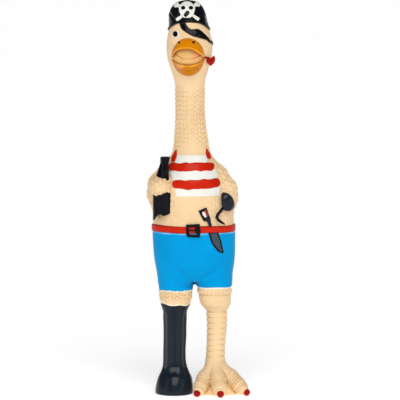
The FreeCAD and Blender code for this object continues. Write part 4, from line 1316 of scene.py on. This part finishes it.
def lower_beak_solid(x, y, z):
    """The lower half, with a rolled lip and a fold under it."""
    d = dome_lower(x, y, z)
    lip = 0.6 * bell((below_mouth(x, z) + 1.7) / 1.7)
    fold = 0.45 * bell(flat_limb(x, z, LOWER_FOLD) / 0.9)
    d = smax(smax(d - lip + fold, below_mouth(x, z) * 0.85, 1.8), z - 364.0, 0.8)
    return np.maximum(d, -(TRUNK(x, y, z) + 0.8))


def lining_field(x, y, z):
    """The mouth's inside, with the tongue, reaching a little behind both lips."""
    d = egg(x, y, z, (-5.0, -17.0, 365.4), (16.6, 14.8, 17.0))
    fold = 0.7 * bell((z - 363.4 - 0.03 * (x + 5) ** 2) / 0.8)
    tongue = egg(x, y, z, (-5.2, -24.5, 361.6), (11.5, 8.2, 4.6))
    d = smin(d + fold, tongue, 1.5)
    behind_lips = np.maximum(-above_mouth(x, z), -below_mouth(x, z)) - 2.0
    return np.maximum(np.maximum(d, behind_lips), -(TRUNK(x, y, z) + 0.6))


def beak_groove_shade(mouth):
    """Painted shade in the grooves where half of the beak meets the skin and the lining."""

    def inner(x, y, z):
        return np.minimum(np.abs(TRUNK(x, y, z)), np.abs(mouth(x, z) - 0.2) + 0.1)

    return inner


def upper_lip_highlight(x, y, z):
    """The upper lip's painted highlight, strongest towards the corners."""
    return np.abs(above_mouth(x, z) + 1.5) + 0.75 * bell((x + 6) / 7)


def lower_lip_highlight(x, y, z):
    """The lower lip's painted highlight, uneven along its length."""
    return np.abs(below_mouth(x, z) + 1.5) + 0.35 * (1 + np.sin(x * 0.45 + 4.2))


# each rim paints shade: the beak's in its grooves, the lining's where it meets the head; each line is a
# painted highlight on a lip
box = ((-26, -44, 340), (16, -6, 392))
for name, field, colour, slot, rim, line in (
    ("upper_beak", upper_beak_solid, ORANGE, "orange_latex", beak_groove_shade(above_mouth), upper_lip_highlight),
    ("lower_beak", lower_beak_solid, BEAK_LOW, "orange_latex", beak_groove_shade(below_mouth), lower_lip_highlight),
    ("mouth_lining", lining_field, LINING, "lining_latex", TRUNK, None),
):
    rigid("head", slot, name, field, box, 0.6, colour, rim=rim, line=line)


def nostril_field(x, y, z):
    d = dome_upper(x, y, z)
    right = oval(x, z, -14.9, 381.2, 1.15, 0.9) - 1.3
    left = oval(x, z, 0.7, 381.6, 1.15, 0.9) - 1.4
    spots = smax(d - 0.3, np.minimum(right, left), 0.5)
    return np.maximum(np.maximum(spots, -(d + 0.8)), y + 19)


rigid("head", "black_latex", "nostrils", nostril_field, ((-20, -44, 377), (6, -10, 387)), 0.3, BLACK)

TONGUE = [(11.8, 364.9), (15.1, 363.9), (17.8, 363.6), (19.6, 364.7), (22, 366.8), (23.8, 365.6)]
TONGUE += [(24, 362), (22.4, 358.4), (18.9, 355.6), (15.6, 358.8), (13.4, 362)]
TONGUE_STEM = [(9.4, -22.4, 365.6, 0.8), (13.2, -20.6, 365, 1.1), (17, -16.6, 363.8, 1.6)]
TONGUE_DISH = [(14, 363, 0), (19, 361.5, 0), (21, 364.5, 0)]


def tongue_field(x, y, z):
    """A slanting, dished slab on a stem from the corner of the mouth."""
    stem = limb(x, y, z, TONGUE_STEM, 1)[0]
    dish = 0.7 * bell(flat_limb(x, z, TONGUE_DISH) / 1.1)
    slab = np.abs(y + 15.0 + 0.25 * (x - 18)) - 2.6 + dish
    return smin(smax(polygon(x, z, TONGUE), slab, 2.0), stem, 1.0)


rigid("head", "red_latex", "tongue_tip", tongue_field, ((8, -24, 351), (28, -6, 371)), 0.45, NAIL)

# ---------------- squeaker


def drum_field(x, y, z):
    """A round cup with a flange and a raised ring, open to the back, with a hole in its floor."""
    r = np.sqrt((x - SQUEAKER_X) ** 2 + (z - SQUEAKER_Z) ** 2)
    flange = smax(r - 12.0, np.abs(y - 32.9) - 0.7, 0.7)
    ring = np.sqrt((r - 9.0) ** 2 + (y - 33.5) ** 2) - 0.55
    barrel = np.maximum(r - 10.0, np.abs(y - 26.9) - 6.1)
    room = np.maximum(r - 8.8, y - 32.2)
    d = np.maximum(smin(np.minimum(flange, barrel), ring, 0.5), -room)
    return smax(d, -(r - 2.2), 0.6)


box = ((-13, 19, 149), (14, 36, 177))
rigid("back_wall", "squeaker_plastic", "squeaker_drum", drum_field, box, 0.45, PLASTIC)
for item in list(bpy.context.scene.objects):
    if item.get("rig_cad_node") in ("squeaker_lid", "reed_seat", "reed"):
        item.data.materials.clear()
        item.data.materials.append(PLASTIC)

# ---------------- stage, light and camera


def placed_object(name, data):
    """A new object in the scene."""
    made = bpy.data.objects.new(name, data)
    bpy.context.scene.collection.objects.link(made)
    return made


FLOOR_REACH = 60
CORNER_SIGNS = [(-1, -1), (1, -1), (1, 1), (-1, 1)]
floor_mesh = bpy.data.meshes.new("floor")
floor_mesh.from_pydata([(i * FLOOR_REACH, j * FLOOR_REACH, 0) for i, j in CORNER_SIGNS], [], [(0, 1, 2, 3)])
floor = placed_object("floor", floor_mesh)
floor_paint = bpy.data.materials.new("floor_pale")
floor_paint.use_nodes = True
shader = floor_paint.node_tree.nodes["Principled BSDF"]
shader.inputs["Base Color"].default_value = (0.95, 0.95, 0.95, 1)
shader.inputs["Emission Color"].default_value = (1, 1, 1, 1)
shader.inputs["Emission Strength"].default_value = 0.52
shader.inputs["Roughness"].default_value = 0.8
floor_mesh.materials.append(floor_paint)

# the world is white near the horizon and dimmer above
world = bpy.data.worlds.new("studio")
bpy.context.scene.world = world
bpy.context.scene.view_settings.view_transform = "Standard"
world.use_nodes = True
tree = world.node_tree
ahead = make_node(tree, "ShaderNodeSeparateXYZ")
tree.links.new(make_node(tree, "ShaderNodeTexCoord").outputs["Generated"], ahead.inputs[0])
light = carried(tree, ahead.outputs["Z"], (0.08, 0.22), (1.0, 0.13))
tree.links.new(light, tree.nodes["Background"].inputs["Strength"])
tree.nodes["Background"].inputs["Color"].default_value = (1, 1, 1, 1)


def lamp(name, place, aim, size, power):
    """A rectangular lamp, size across and up, that faces a point."""
    data = bpy.data.lights.new(name, "AREA")
    data.shape = "RECTANGLE"
    data.size, data.size_y = size
    data.energy = power
    made = placed_object(name, data)
    made.location = place
    made.rotation_euler = (Vector(aim) - Vector(place)).to_track_quat("-Z", "Y").to_euler()


sun_data = bpy.data.lights.new("sun", "SUN")
sun_data.energy = 1.78
sun_data.angle = math.radians(40)
sun = placed_object("sun", sun_data)
sun.rotation_euler = (math.radians(50), 0, math.radians(3))
lamp("key", (-1.3, -0.95, 0.55), (0, 0, 0.2), (0.5, 1.2), 1.5)
lamp("fill", (1.3, -0.95, 0.5), (0, 0, 0.2), (0.45, 1.2), 1.5)

# the camera looks at the bird's middle from far away and a little above
TILT = math.radians(5.0)
AWAY = 3.0
FRAME_WIDTH = 0.432
SENSOR_WIDTH = 36
target = in_frame(7.56, 0, 210.5)
camera_data = bpy.data.cameras.new("camera")
camera = placed_object("camera", camera_data)
bpy.context.scene.camera = camera
camera.location = target + Vector((0, -math.cos(TILT), math.sin(TILT))) * AWAY
camera.rotation_euler = (target - camera.location).to_track_quat("-Z", "Y").to_euler()
camera_data.sensor_width = SENSOR_WIDTH
camera_data.lens = SENSOR_WIDTH * AWAY / FRAME_WIDTH
camera_data.clip_end = 200
